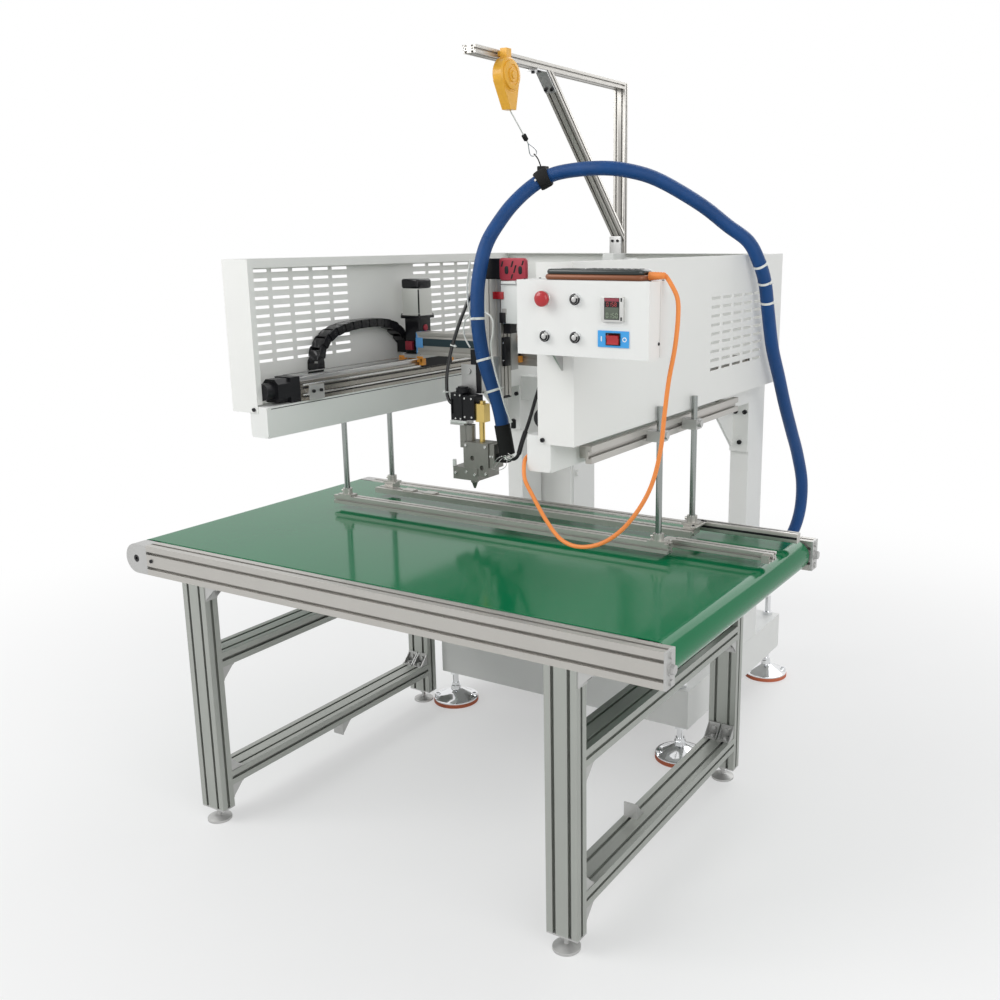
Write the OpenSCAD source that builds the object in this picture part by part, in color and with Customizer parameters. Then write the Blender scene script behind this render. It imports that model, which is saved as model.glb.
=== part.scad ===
// Inline glue dispensing machine: a belt table under an arched stand
// with a three-axis gluing head. Lengths in millimetres, Z up.

/* [Belt table] */
// length of the two side rails
rail_len = 1500; // [1300:10:1700]
// width of the table over the rails
table_w = 930; // [860:10:1000]
// height of the belt surface above the floor
belt_z = 750; // [700:5:820]
// thickness of the side rail profile
rail_t = 40; // [36:1:50]
// height of the side rail profile
rail_h = 80; // [76:1:90]
// width of a leg profile
leg_w = 80; // [70:1:90]
// depth of a leg profile
leg_d = 40; // [36:1:50]
// left face of the left legs
leg_left = 130; // [90:5:160]
// left face of the right legs
leg_right = 1225; // [1160:5:1260]
// underside of the upper cross members
member_up = 438; // [400:2:480]
// underside of the lower cross members
member_low = 100; // [80:2:160]
// thickness of the cross members
member_h = 40; // [36:1:46]
// radius of a table foot disc
foot_r = 32; // [26:1:40]
// height of a table foot
foot_h = 37; // [32:1:60]
// thickness of the belt
belt_t = 2; // [1.5:0.1:3]
// gap between belt edge and rail
belt_gap = 8; // [6:0.5:14]
// radius of the roller shafts
shaft_r = 10; // [8:0.5:12]

/* [Stand] */
// left face of the stand
base_x = 235; // [235:1:260]
// length of the stand base
base_len = 905; // [905:1:905]
// gap between table and stand
base_gap = 5; // [3:1:20]
// depth of the stand base
base_deep = 780; // [740:5:840]
// underside of the stand base
base_z = 108; // [100:1:130]
// height of the stand base
base_h = 120; // [100:2:140]
// width of the tubes of the stand base
base_tube = 80; // [70:2:100]
// radius of a stand foot
pad_r = 75; // [60:1:80]
// thickness of the rubber pad under a stand foot
pad_h = 12; // [8:1:16]
// width of a column and of an arm beam
column_w = 60; // [56:1:64]
// depth of a column
column_d = 125; // [100:5:140]
// distance from the front of the base to the columns
column_back = 420; // [380:5:460]
// underside of the arm beams
arm_z = 1032; // [1032:1:1050]
// height of an arm beam
arm_h = 80; // [76:1:84]
// wall of the tubes
tube_wall = 4; // [3:0.5:6]

/* [Covers] */
// front face of the cover sheets
cover_front = 173; // [173:1:173]
// rear face of the cover sheets
cover_back = 1430; // [1400:5:1460]
// lower edge of the side covers
cover_low = 1095; // [1085:1:1105]
// top of the covers
cover_top = 1480; // [1478:1:1500]
// gap between arm beam and side cover
cover_gap = 60; // [56:1:70]
// width of the front flange of a side cover
cover_flange = 90; // [80:1:110]
// thickness of the cover sheet
sheet_t = 2; // [1.5:0.1:3]
// length of a vent slot
vent_len = 62; // [50:1:66]
// height of a vent slot
vent_h = 8; // [5:0.5:12]
// height from one row of vent slots to the next
vent_step = 23.5; // [20:0.5:24]

/* [Guides] */
// radius of the guide rods
rod_r = 8; // [6:0.5:9]
// length of the guide rods
rod_len = 336; // [320:4:348]
// front guide rods, distance from the front of the table
rod_front = 567; // [560:1:580]
// rear guide rods, distance from the front of the table
rod_rear = 771; // [766:1:790]
// height of the guide bars above the belt
guide_lift = 15; // [12:1:20]
// height of a guide bar
guide_h = 25; // [20:1:30]
// thickness of the front guide bar
guide_t = 30; // [26:1:34]
// channel between the guide bars
channel_w = 134; // [126:1:134]
// width of the rear guide bar
rear_w = 36; // [30:1:36]
// height of the slotted rails that carry the guides
carrier_h = 40; // [34:1:44]
// from a slotted rail to the middle of the rods
clamp_reach = 27; // [24:1:28]
// running clearance of the rods in their clamps
rod_fit = 0.05; // [0.03:0.01:0.08]

/* [Gluing head] */
// height of the rail profile of the long axes
axis_h = 53; // [48:1:56]
// length of the long axes
axis_len = 1031; // [980:1:1080]
// length of a carriage on the long axes
carriage_len = 160; // [140:5:180]
// front of the cross beam
cross_y = 800; // [798:1:804]
// depth of the cross beam
cross_d = 60; // [50:1:70]
// height of the cross beam
cross_h = 68; // [64:1:72]
// left side of the lifting axis
lift_x = 612; // [612:1:616]
// width of the lifting axis
lift_w = 48; // [44:1:52]
// height of the lifting axis
lift_h = 319; // [300:1:340]
// side of the servo motor
servo_w = 58; // [54:1:60]
// height of the nozzle tip above the belt
tip_lift = 88; // [84:1:96]
// radius of the heated hose
hose_r = 19; // [16:0.5:21]

/* [Overhead frame] */
// width of the flat profile
frame_w = 40; // [38:1:44]
// thickness of the flat profile
frame_t = 20; // [19:0.5:22]
// left side of the frame
frame_x = 634; // [630:1:640]
// front end of the arm
arm_tip = 592; // [560:2:620]
// top of the frame
frame_top = 2001; // [1980:1:2030]
// front face of the post
post_y = 1397; // [1390:1:1404]
// radius of the balancer drum
drum_r = 43; // [40:1:46]

/* [Control box] */
// left side of the box
box_x = 1121; // [1116:1:1126]
// width of the box
box_w = 298; // [290:1:310]
// height of the box
box_h = 148; // [144:1:154]
// depth of the box
box_d = 91; // [80:1:95]
// underside of the box
box_z = 1299; // [1290:1:1305]
// radius of the emergency stop head
stop_r = 17; // [14:0.5:20]
// radius of a push button
button_r = 9; // [7:0.5:10]
// side of the temperature controller
meter_w = 48; // [44:1:50]

/* [Hidden] */
$fn = 48;

rail_mid = belt_z - rail_h / 2;
rail_low = belt_z - rail_h;
wrap_r = rail_h / 2;
tail_x = -rail_h / 2;
drive_x = rail_len - rail_h / 2;
belt_y0 = rail_t + belt_gap;
belt_y1 = table_w - rail_t - belt_gap;
roller_r = wrap_r - belt_t - 0.3;
shaft_fit = 0.05;
shaft_seat = 25;
plate_t = 4;
leg_x = [leg_left, leg_right];
leg_y = [0, table_w - leg_d];
rear_in = table_w - leg_d;

base_y = table_w + base_gap;
base_top = base_z + base_h;
base_x1 = base_x + base_len;
foot_in_x = 35;
foot_in_y = 25;
end_cap = 16;
mid_x = (tail_x - rail_h / 2 + rail_len + end_cap) / 2;
mid_y = (leg_d / 2 - foot_r + base_y + base_deep - foot_in_y + pad_r) / 2;
stud_r = 10;
stud_top = base_top + 72;
column_y = base_y + column_back;
column_y1 = column_y + column_d;
beam_x = [base_x, base_x1 - column_w];
beam_front = cover_front + sheet_t + 3;
arm_top = arm_z + arm_h;
tie_z = 982;
tie_d = 60;

cover_x0 = base_x - cover_gap;
cover_x1 = base_x1 + cover_gap;
lip_w = 30;
hem_h = 24;

guide_z = belt_z + guide_lift;
guide_y1 = rod_front + guide_t / 2;
guide_y0 = guide_y1 - guide_t;
rear_bar_y = guide_y1 + channel_w;
seat_t = 5;
collar_h = 17;
rod_z = guide_z + guide_h + seat_t;
carrier_z = 1038;
carrier_t = 16;
carrier_gap = 29;
carrier_x = [base_x - carrier_t, base_x1 + carrier_gap];
rod_x = [carrier_x[0] - clamp_reach, carrier_x[1] + carrier_t + clamp_reach];
carrier_y0 = 276;
carrier_y1 = 1143;
clamp_z = carrier_z + carrier_h / 2;

axis_y0 = 299;
axis_top = arm_top + axis_h;
plate_z = axis_top + 23;
cross_z = plate_z;
cross_x0 = 284;
cross_x1 = base_x + base_x1 - cross_x0;
carriage_y = cross_y - 5;
slide_gap = 0.2;
lift_z = 1101;
lift_y = cross_y - 100;
lift_d = 48;
gun_y = lift_y - 40;
tip_z = belt_z + tip_lift;

frame_mid = frame_x + frame_w / 2;
frame_low = frame_top - frame_t;
frame_mid_z = frame_top - frame_t / 2;
brace_y = 937;
gusset_t = 5;
gusset_in = 52;
gusset_down = 50;
gusset_bend = 2.5;
drum_t = 32;
drum_y = 698;
drum_z = frame_mid_z - 53;
spout_h = 84;
foot_block_z = cover_top;

box_y = cover_front - box_d;
stop_x = box_x + 63;
stop_z = box_z + 112;
key_x = [box_x + 138, box_x + 68, box_x + 138];
key_z = [box_z + 112, box_z + 38, box_z + 38];
meter_x = box_x + 222;
meter_z = box_z + 95;
rocker_z = box_z + 38;

hose_pts = [[700, 660, 950], [682, 656, 1061], [663, 652, 1128], [646, 648, 1180], [633, 646, 1228],
  [624, 644, 1303], [621, 650, 1389], [626, 664, 1466], [631, 690, 1522], [644, 730, 1574],
  [661, 770, 1619], [688, 815, 1662], [730, 842, 1692], [788, 850, 1705], [890, 850, 1709],
  [960, 884, 1701], [1021, 942, 1677], [1102, 1030, 1616], [1158, 1090, 1560], [1210, 1118, 1516],
  [1234, 1145, 1458], [1240, 1180, 1400], [1241, 1210, 1319], [1241, 1255, 1215], [1242, 1320, 1120],
  [1243, 1380, 1030], [1245, 1450, 935], [1246, 1515, 850], [1250, 1560, 750], [1240, 1585, 650],
  [1214, 1601, 566], [1172, 1612, 492], [1118, 1620, 430], [1058, 1626, 378], [985, 1630, 328],
  [905, 1631, 288], [820, 1631, 260], [730, 1629, 248], [640, 1622, 248], [550, 1610, 248],
  [490, 1600, 252], [441, 1600, 252]];
// points where the hose passes from the head to the cross carriage, the gantry and the stand
hose_cut = [0, 4, 8, 17, 41];
clamp_at = 11;
hose_gap = 0.3;
orange_pts = [[1427, 135, 1457], [1441, 132, 1440], [1456, 128, 1414], [1459, 125, 1377],
  [1455, 122, 1322], [1444, 120, 1257], [1436, 120, 1190], [1430, 118, 1122],
  [1414, 118, 1056], [1388, 118, 1002], [1346, 120, 948], [1296, 122, 910],
  [1240, 126, 893], [1190, 134, 900], [1148, 142, 935], [1108, 150, 985],
  [1085, 156, 1018], [1072, 176, 1050], [1070, 196, 1062]];
valve_cable_pts = [[606, 716, 1452], [566, 684, 1364], [530, 660, 1255], [509, 652, 1170],
  [503, 652, 1112], [507, 654, 1090], [515, 655, 1079], [527.4, 655, 1078]];
heater_cable_pts = [[745, 770, 1160], [756, 716, 1086], [755, 690, 1040], [742, 674, 985],
  [734, 667, 950], [724, 662, 936], [706.8, 660, 934]];

// link chain: pitch of its pins and the slope of each link, from its fixed end on
chain_pitch = 34;
chain_slope = [90, 88, 74, 50, 30, 16, 9, 5, 2, 0, -2, -8, -18, -36, -45];
chain_foot = [459, arm_top + 14];
chain_x = cover_x0 + sheet_t + 1.6;
chain_w = 42;
chain_h = 24;
chain_wall = 3.2;
chain_lid = 3;
chain_gap = 0.3;

alu = [0.78, 0.78, 0.76];
white = [0.92, 0.92, 0.89];
black = [0.07, 0.07, 0.08];
steel = [0.72, 0.73, 0.74];
chrome = [0.80, 0.81, 0.82];
blue = [0.07, 0.17, 0.42];
orange = [0.93, 0.45, 0.12];

module bx(x0, x1, y0, y1, z0, z1)
  translate([x0, y0, z0]) cube([x1 - x0, y1 - y0, z1 - z0]);
module bar_x(x0, x1, y, z, r) translate([x0, y, z]) rotate([0, 90, 0]) cylinder(h = x1 - x0, r = r);
module bar_y(y0, y1, x, z, r) translate([x, y0, z]) rotate([-90, 0, 0]) cylinder(h = y1 - y0, r = r);
module bar_z(z0, z1, x, y, r) translate([x, y, z0]) cylinder(h = z1 - z0, r = r);
module along_x(x0, x1, y, z) translate([x0, y, z]) rotate([90, 0, 90]) linear_extrude(x1 - x0) children();
module along_y(y0, y1, x, z) translate([x, y1, z]) rotate([90, 0, 0]) linear_extrude(y1 - y0) children();
module along_z(z0, z1, x, y) translate([x, y, z0]) linear_extrude(z1 - z0) children();
module hex(r) polygon([for (i = [0:5]) [r * cos(60 * i), r * sin(60 * i)]]);
module place() translate([-mid_x, -mid_y, 0]) children();

// undercut slot of a profile, mouth on the line y = 0
module slot_cut(mouth, lip, inner, deep) {
  translate([-mouth / 2, -lip - 0.01]) square([mouth, lip + 1]);
  translate([-inner / 2, -deep]) square([inner, deep - lip]);
}
// slotted profile, nw slots on the faces of width w and nh on those of height h
module profile(w, h, nw, nh, mouth = 8, lip = 3, inner = 15, deep = 10, core = 3.4) difference() {
  square([w, h], center = true);
  for (i = [0:nw - 1]) translate([(i + 0.5) * w / nw - w / 2, 0]) {
    translate([0, h / 2]) slot_cut(mouth, lip, inner, deep);
    translate([0, -h / 2]) rotate(180) slot_cut(mouth, lip, inner, deep);
  }
  for (i = [0:nh - 1]) translate([0, (i + 0.5) * h / nh - h / 2]) {
    translate([w / 2, 0]) rotate(-90) slot_cut(mouth, lip, inner, deep);
    translate([-w / 2, 0]) rotate(90) slot_cut(mouth, lip, inner, deep);
  }
  for (i = [0:nw - 1]) for (j = [0:nh - 1])
    translate([(i + 0.5) * w / nw - w / 2, (j + 0.5) * h / nh - h / 2]) circle(r = core);
}
// socket head screw standing on z = 0
module screw(r, h) difference() {
  cylinder(h = h, r = r);
  translate([0, 0, h * 0.45]) linear_extrude(h) hex(r * 0.5);
}
module screw_x(x, y, z, r, h) translate([x, y, z]) rotate([0, 90, 0]) screw(r, h);
module screw_back(x, y, z, r, h) translate([x, y, z]) rotate([90, 0, 0]) screw(r, h);
// angle bracket with two side webs and two bolts, corner at the origin
module angle_piece(l = 38, w = 36, t = 4) {
  translate([0, -w / 2, 0]) cube([l, w, t]);
  translate([0, -w / 2, 0]) cube([t, w, l]);
  for (s = [-w / 2 + 3, w / 2]) translate([0, s, 0]) rotate([90, 0, 0])
    linear_extrude(3) polygon([[0, 0], [l, 0], [0, l]]);
  translate([l * 0.6, 0, t]) cylinder(h = 6, r = 6.5);
  translate([t, 0, l * 0.6]) rotate([0, 90, 0]) cylinder(h = 6, r = 6.5);
}

// round tube swept through a list of points, one ring at each point
function unit(v) = v / norm(v);
function tangent(p, i) = unit(p[min(i + 1, len(p) - 1)] - p[max(i - 1, 0)]);
function across(v, t) = unit(v - (v * t) * t);
function carried(p, i) = i == 0 ? across([0.31, 0.87, 0.38], tangent(p, 0))
  : across(carried(p, i - 1), tangent(p, i));
module sweep(p, r, sides = 10, from = 0, upto = -1) {
  last = upto < 0 ? len(p) - 1 : upto;
  n = last - from + 1;
  rings = [for (i = [from:last]) let (t = tangent(p, i), u = carried(p, i), v = cross(t, u),
    c = p[i] + (from > 0 && i == from ? hose_gap * t : [0, 0, 0]))
    for (k = [0:sides - 1]) c + r * (cos(360 * k / sides) * u + sin(360 * k / sides) * v)];
  polyhedron(points = rings, faces = concat(
    [[for (k = [0:sides - 1]) k]],
    [for (i = [0:n - 2]) for (k = [0:sides - 1]) let (m = (k + 1) % sides)
      [i * sides + m, i * sides + k, (i + 1) * sides + k, (i + 1) * sides + m]],
    [[for (k = [0:sides - 1]) n * sides - 1 - k]]));
}

// ---- belt table
module side_rails() color(alu) difference() {
  for (y = [rail_t / 2, table_w - rail_t / 2])
    along_x(0, rail_len, y, rail_mid) profile(rail_t, rail_h, 1, 2);
  for (y = [rail_t - shaft_seat, table_w - rail_t])
    bar_y(y, y + shaft_seat, drive_x, rail_mid, shaft_r + shaft_fit);
}

module rail_ends() color(alu) {
  for (y = [0, table_w - rail_t]) difference() {
    union() {
      bx(tail_x, 0, y, y + rail_t, rail_low, belt_z);
      bar_y(y, y + rail_t, tail_x, rail_mid, wrap_r);
    }
    bar_y(y == 0 ? rail_t - shaft_seat : y, y == 0 ? rail_t : y + shaft_seat,
      tail_x, rail_mid, shaft_r + shaft_fit);
    bar_y(y == 0 ? -1 : y + rail_t - 8, y == 0 ? 8 : y + rail_t + 1, tail_x, rail_mid, 10);
  }
  for (y = [0, table_w - rail_t]) {
    bx(rail_len, rail_len + 6, y, y + rail_t, rail_low, belt_z);
    bar_x(rail_len + 6, rail_len + 8, y + rail_t / 2, rail_mid, 14);
    translate([rail_len + 8, y + rail_t / 2, rail_mid]) rotate([0, 90, 0]) linear_extrude(8) hex(11);
    for (s = [-1, 1]) bar_x(rail_len + 6, rail_len + 10, y + rail_t / 2, rail_mid + s * 28, 7);
  }
}

module loop_shape(r) {
  translate([tail_x, rail_mid]) circle(r = r);
  translate([drive_x, rail_mid]) circle(r = r);
  translate([tail_x, rail_mid - r]) square([drive_x - tail_x, 2 * r]);
}
module belt() color([0.05, 0.36, 0.22]) along_y(belt_y0, belt_y1, 0, 0) difference() {
  loop_shape(wrap_r);
  loop_shape(wrap_r - belt_t);
}

module roller(x) {
  bar_y(belt_y0 + 2, belt_y1 - 2, x, rail_mid, roller_r);
  bar_y(rail_t - shaft_seat + 1, table_w - rail_t + shaft_seat - 1, x, rail_mid, shaft_r);
}
module drive_roller() color(steel) roller(drive_x);
module tail_roller() color(steel) roller(tail_x);

module slider_bed() color(steel) {
  bx(4, drive_x - wrap_r - 3, rail_t, table_w - rail_t, belt_z - belt_t - 3, belt_z - belt_t);
  for (y = [rail_t, table_w - rail_t - 3]) bx(4, drive_x - wrap_r - 3, y, y + 3, rail_low + 32, belt_z - belt_t - 3);
  for (x = [300, 700, 1100]) bx(x, x + 40, rail_t + 3, table_w - rail_t - 3, rail_low + 40, belt_z - belt_t - 3);
}

module return_cover() color([0.28, 0.29, 0.30]) {
  x0 = leg_left + leg_w + 60;
  x1 = leg_right - 20;
  bx(x0, x1, rail_t + 2, table_w - rail_t - 2, rail_low - 12, rail_low - 10);
  for (y = [rail_t + 2, table_w - rail_t - 4]) bx(x0, x1, y, y + 2, rail_low - 10, rail_low - 2);
  bx(x0, x1, 12, rail_t + 4, rail_low - 2, rail_low);
  bx(x0, x1, table_w - rail_t - 4, table_w - 12, rail_low - 2, rail_low);
}

module legs() color(alu) for (x = leg_x) for (y = leg_y)
  along_z(foot_h + plate_t, rail_low, x + leg_w / 2, y + leg_d / 2) profile(leg_w, leg_d, 2, 1);

module cross_members() color(alu) for (x = leg_x) for (z = [member_up, member_low])
  along_y(leg_d, rear_in, x + leg_w / 2, z + member_h / 2) profile(leg_w, member_h, 2, 1);

module corner_brackets() color(steel) {
  for (x = leg_x) {
    for (y = leg_y) translate([x + leg_w, y + leg_d / 2, rail_low]) mirror([0, 0, 1]) angle_piece();
    for (s = [-20, 20]) {
      translate([x + leg_w / 2 + s, leg_d, member_up]) rotate([0, 0, 90]) mirror([0, 0, 1]) angle_piece();
      translate([x + leg_w / 2 + s, rear_in, member_up]) rotate([0, 0, -90]) mirror([0, 0, 1]) angle_piece();
      translate([x + leg_w / 2 + s, leg_d, member_low + member_h]) rotate([0, 0, 90]) angle_piece();
      translate([x + leg_w / 2 + s, rear_in, member_low + member_h]) rotate([0, 0, -90]) angle_piece();
      translate([x + leg_w / 2 + s, leg_d, member_low]) rotate([0, 0, 90]) mirror([0, 0, 1]) angle_piece();
    }
  }
  translate([leg_right + 20, 362, member_low + member_h]) rotate([0, 0, 90]) angle_piece();
  translate([leg_left + 60, 470, member_low]) rotate([0, 0, 90]) mirror([0, 0, 1]) angle_piece();
}

module table_feet() color(steel) for (x = leg_x) for (y = leg_y) {
  bx(x, x + leg_w, y, y + leg_d, foot_h, foot_h + plate_t);
  bar_z(0, 6, x + leg_w / 2, y + leg_d / 2, foot_r);
  translate([x + leg_w / 2, y + leg_d / 2, 6]) cylinder(h = 7, r1 = foot_r, r2 = 12);
  bar_z(13, foot_h, x + leg_w / 2, y + leg_d / 2, 6);
  along_z(foot_h - 9, foot_h, x + leg_w / 2, y + leg_d / 2) hex(11);
}

// ---- stand
module feet_at() for (x = [base_x + foot_in_x, base_x1 - foot_in_x])
  for (y = [base_y + foot_in_y, base_y + base_deep - foot_in_y]) translate([x, y, 0]) children();

module base_frame() color(white) difference() {
  bx(base_x, base_x1, base_y, base_y + base_deep, base_z, base_top);
  for (s = [0, 1]) bx(s == 0 ? base_x + base_tube : (base_x + base_x1) / 2 + base_tube / 2,
    s == 0 ? (base_x + base_x1) / 2 - base_tube / 2 : base_x1 - base_tube,
    base_y + base_tube, base_y + base_deep - base_tube, base_z - 1, base_top - 4);
  feet_at() translate([0, 0, base_z - 1]) cylinder(h = base_h + 2, r = stud_r);
}

module machine_feet() color(chrome) feet_at() {
  translate([0, 0, pad_h]) cylinder(h = 4, r = pad_r - 1);
  translate([0, 0, pad_h + 4]) cylinder(h = 26, r1 = pad_r - 8, r2 = 20);
  translate([0, 0, pad_h + 30]) cylinder(h = 14, r = 17);
  translate([0, 0, pad_h + 44]) linear_extrude(10) hex(15);
  translate([0, 0, pad_h + 54]) cylinder(h = stud_top - pad_h - 54, r = stud_r);
  for (z = [base_z - 12, base_top]) translate([0, 0, z]) difference() {
    linear_extrude(12) hex(18);
    translate([0, 0, -1]) cylinder(h = 14, r = stud_r);
  }
  for (a = [30, 210]) rotate(a) translate([pad_r - 13, 0, pad_h + 4]) difference() {
    cylinder(h = 9, r = 11);
    translate([0, 0, -1]) cylinder(h = 11, r = 6);
  }
}

module foot_pads() color([0.80, 0.22, 0.08]) feet_at() cylinder(h = pad_h, r = pad_r);

module columns() color(white) for (i = [0, 1]) {
  x = beam_x[i];
  difference() {
    bx(x, x + column_w, column_y, column_y1, base_top, arm_z);
    bx(x + tube_wall, x + column_w - tube_wall, column_y + tube_wall, column_y1 - tube_wall,
      base_top - 1, arm_z + 1);
  }
  bx(x, x + column_w, column_y - 10, column_y, arm_z - 156, arm_z);
  translate([x, 0, 0]) along_x(0, 8, 0, 0)
    polygon([[column_y - 10, arm_z], [column_y - 160, arm_z], [column_y - 160, arm_z - 8],
      [column_y - 10, arm_z - 142]]);
}

module round_rect(w, h, r) {
  square([w - 2 * r, h], center = true);
  square([w, h - 2 * r], center = true);
  for (x = [-w / 2 + r, w / 2 - r]) for (y = [-h / 2 + r, h / 2 - r]) translate([x, y]) circle(r = r);
}
module arm_beams() color(white) {
  for (x = beam_x) {
    along_y(beam_front, column_y1, x + column_w / 2, arm_z + arm_h / 2) difference() {
      square([column_w, arm_h], center = true);
      square([column_w - 2 * tube_wall, arm_h - 2 * tube_wall], center = true);
    }
    along_y(beam_front - 3, beam_front, x + column_w / 2, arm_z + arm_h / 2) round_rect(column_w, arm_h, 9);
    along_y(beam_front, beam_front + 14, x + column_w / 2, arm_z + arm_h / 2)
      square([column_w - 2 * tube_wall, arm_h - 2 * tube_wall], center = true);
  }
  along_x(base_x + column_w, base_x1 - column_w, column_y + tie_d / 2, tie_z + 40) difference() {
    square([tie_d, 80], center = true);
    square([tie_d - 2 * tube_wall, 80 - 2 * tube_wall], center = true);
  }
  // upright and saddle of the overhead frame
  bx(frame_x, frame_x + frame_w, column_y + 8, column_y + 48, tie_z + 80, foot_block_z - 40);
  bx(frame_x, frame_x + frame_w, cover_back - 104, cover_back - sheet_t, foot_block_z - 40, foot_block_z);
  // shelf for the fixed end of the chain
  bx(chain_x, base_x, chain_foot[0] - 15, chain_foot[0] + 15, arm_top - 4, arm_top);
  bx(chain_x + tongue_x + chain_wall + chain_gap, chain_x + chain_w - tongue_x - chain_wall - chain_gap,
    chain_foot[0] - 8, chain_foot[0] + 8, arm_top, chain_foot[1]);
  // flat bars that carry the side covers
  for (y = [250, 1000, 1380]) {
    bx(cover_x0 + sheet_t, base_x, y, y + 40, arm_top - 4, arm_top);
    bx(base_x1, cover_x1 - sheet_t, y, y + 40, arm_top - 4, arm_top);
    bx(cover_x0 + sheet_t, cover_x0 + sheet_t + 4, y, y + 40, arm_top, arm_top + 40);
    bx(cover_x1 - sheet_t - 4, cover_x1 - sheet_t, y, y + 40, arm_top, arm_top + 40);
  }
}

// side wall seen along x with its groups of vent slots
module side_wall(groups, rows, z_first) difference() {
  translate([cover_front, cover_low]) square([cover_back - cover_front, cover_top - cover_low]);
  for (y0 = groups) for (c = [0:4]) for (k = [0:rows - 1])
    translate([y0 + c * 77, z_first - k * vent_step - vent_h]) square([vent_len, vent_h]);
}
module left_cover() color(white) {
  along_x(cover_x0, cover_x0 + sheet_t, 0, 0) side_wall([260, 932], 11, 1452);
  bx(cover_x0 + sheet_t, cover_x0 + cover_flange, cover_front, cover_front + sheet_t, cover_low, cover_top);
  bx(cover_x0 + cover_flange - sheet_t, cover_x0 + cover_flange, cover_front + sheet_t,
    cover_front + 18, arm_top + 4, cover_top - sheet_t);
  bx(cover_x0 + sheet_t, cover_x0 + lip_w, cover_front + sheet_t, cover_back - sheet_t, cover_top - sheet_t, cover_top);
  bx(cover_x0 + lip_w - sheet_t, cover_x0 + lip_w, cover_front + sheet_t, cover_back - sheet_t,
    cover_top - hem_h, cover_top - sheet_t);
}
module right_cover() color(white) {
  along_x(cover_x1 - sheet_t, cover_x1, 0, 0) side_wall([895], 9, 1376);
  bx(cover_x1 - cover_flange, cover_x1 - sheet_t, cover_front, cover_front + sheet_t, cover_low, cover_top);
  bx(cover_x1 - cover_flange, cover_x1 - cover_flange + sheet_t, cover_front + sheet_t,
    cover_front + 18, arm_top + 4, cover_top - sheet_t);
  bx(cover_x1 - lip_w, cover_x1 - sheet_t, cover_front + sheet_t, cover_back - sheet_t, cover_top - sheet_t, cover_top);
  bx(cover_x1 - lip_w, cover_x1 - lip_w + sheet_t, cover_front + sheet_t, cover_back - sheet_t,
    cover_top - hem_h, cover_top - sheet_t);
}
module rear_cover() color(white) {
  bx(cover_x0 + sheet_t, cover_x1 - sheet_t, cover_back - sheet_t, cover_back, arm_top + 4, cover_top);
  bx(cover_x0 + lip_w, frame_x - 1, cover_back - lip_w, cover_back - sheet_t, cover_top - sheet_t, cover_top);
  bx(frame_x + frame_w + 1, cover_x1 - lip_w, cover_back - lip_w, cover_back - sheet_t, cover_top - sheet_t, cover_top);
}

module cabinet() color(white) {
  bx(base_x, 415, column_y1 + 10, 1664, base_top, 1060);
  bx(415, 418, column_y1 + 24, 1650, base_top + 20, 1046);
  bar_x(418, 430, column_y1 + 44, 700, 12);
  // gland of the heated hose
  bar_x(415, 434, hose_pts[hose_cut[4]][1], hose_pts[hose_cut[4]][2], 23);
  bar_x(434, hose_pts[hose_cut[4]][0] - hose_gap, hose_pts[hose_cut[4]][1], hose_pts[hose_cut[4]][2], 21);
}

module cap_screws() color(black) {
  screw_back(tail_x, 8, rail_mid, 9, 8);
  translate([tail_x, table_w - 8, rail_mid]) rotate([-90, 0, 0]) screw(9, 8);
  screw_back(18, 0, rail_mid, 5, 3);
  for (x = beam_x) for (p = [[15, -30], [45, -30], [30, -126]])
    screw_back(x + p[0] + 4, column_y - 10, arm_z + p[1], 7, 7);
  screw_back(base_x1 - column_w + 42, cover_front, arm_top - 8, 5, 4);
  screw_back(base_x + 18, cover_front, arm_top - 8, 5, 4);
  for (x = [base_x + column_w, base_x1 - column_w]) for (y = [350, 1250]) for (s = [-14, 14])
    translate([x == base_x + column_w ? x + 8 : x - 8, y + s, arm_top + 24])
      rotate([0, x == base_x + column_w ? 90 : -90, 0]) screw(4.5, 5);
  for (s = [-9, 9]) screw_back(frame_mid + s, cover_back - 104, foot_block_z - 28, 5, 5);
  // bolts of the bent plate, two under the arm and two on the brace
  for (x = [frame_mid - 10, frame_mid + 10]) {
    translate([x, brace_y - 30, frame_low - gusset_t]) rotate([180, 0, 0]) screw(5, 5);
    translate([x, brace_y + 41 - gusset_t * cos(45), frame_low - 41 - gusset_t * cos(45)])
      rotate([135, 0, 0]) screw(5, 5);
  }
}

// ---- axes along the arms
module y_modules() {
  for (i = [0, 1]) {
    x = beam_x[i];
    color(alu) along_y(axis_y0, axis_y0 + axis_len, x + column_w / 2, arm_top + axis_h / 2) difference() {
      square([column_w, axis_h], center = true);
      for (s = [-1, 1]) {
        translate([s * column_w / 2, 8]) square([8, 6], center = true);
        translate([s * column_w / 2, -10]) square([8, 8], center = true);
        translate([s * 16, axis_h / 2]) square([5, 8], center = true);
      }
    }
    color(steel) for (s = [8, column_w - 18])
      bx(x + s, x + s + 10, axis_y0 + 4, axis_y0 + axis_len - 4, axis_top, axis_top + 8);
    color(alu) for (y = [350, 1250])
      bx(i == 0 ? x + column_w : x - 8, i == 0 ? x + column_w + 8 : x, y - 28, y + 28, arm_top, arm_top + 40);
    color(black) {
      bx(x + 2, x + column_w - 2, axis_y0 - 34, axis_y0, arm_top + 2, axis_top + 14);
      along_y(axis_y0 - 78, axis_y0 - 34, x + column_w / 2, arm_top + 33)
        polygon([[-28, -16], [-16, -28], [16, -28], [28, -16], [28, 20], [16, 32], [-16, 32], [-28, 20]]);
      bar_y(axis_y0 - 108, axis_y0 - 78, x + column_w / 2, arm_top + 35, 22);
      bx(x + 2, x + column_w - 2, axis_y0 + axis_len, axis_y0 + axis_len + 20, arm_top + 2, axis_top + 10);
    }
  }
}

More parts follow.
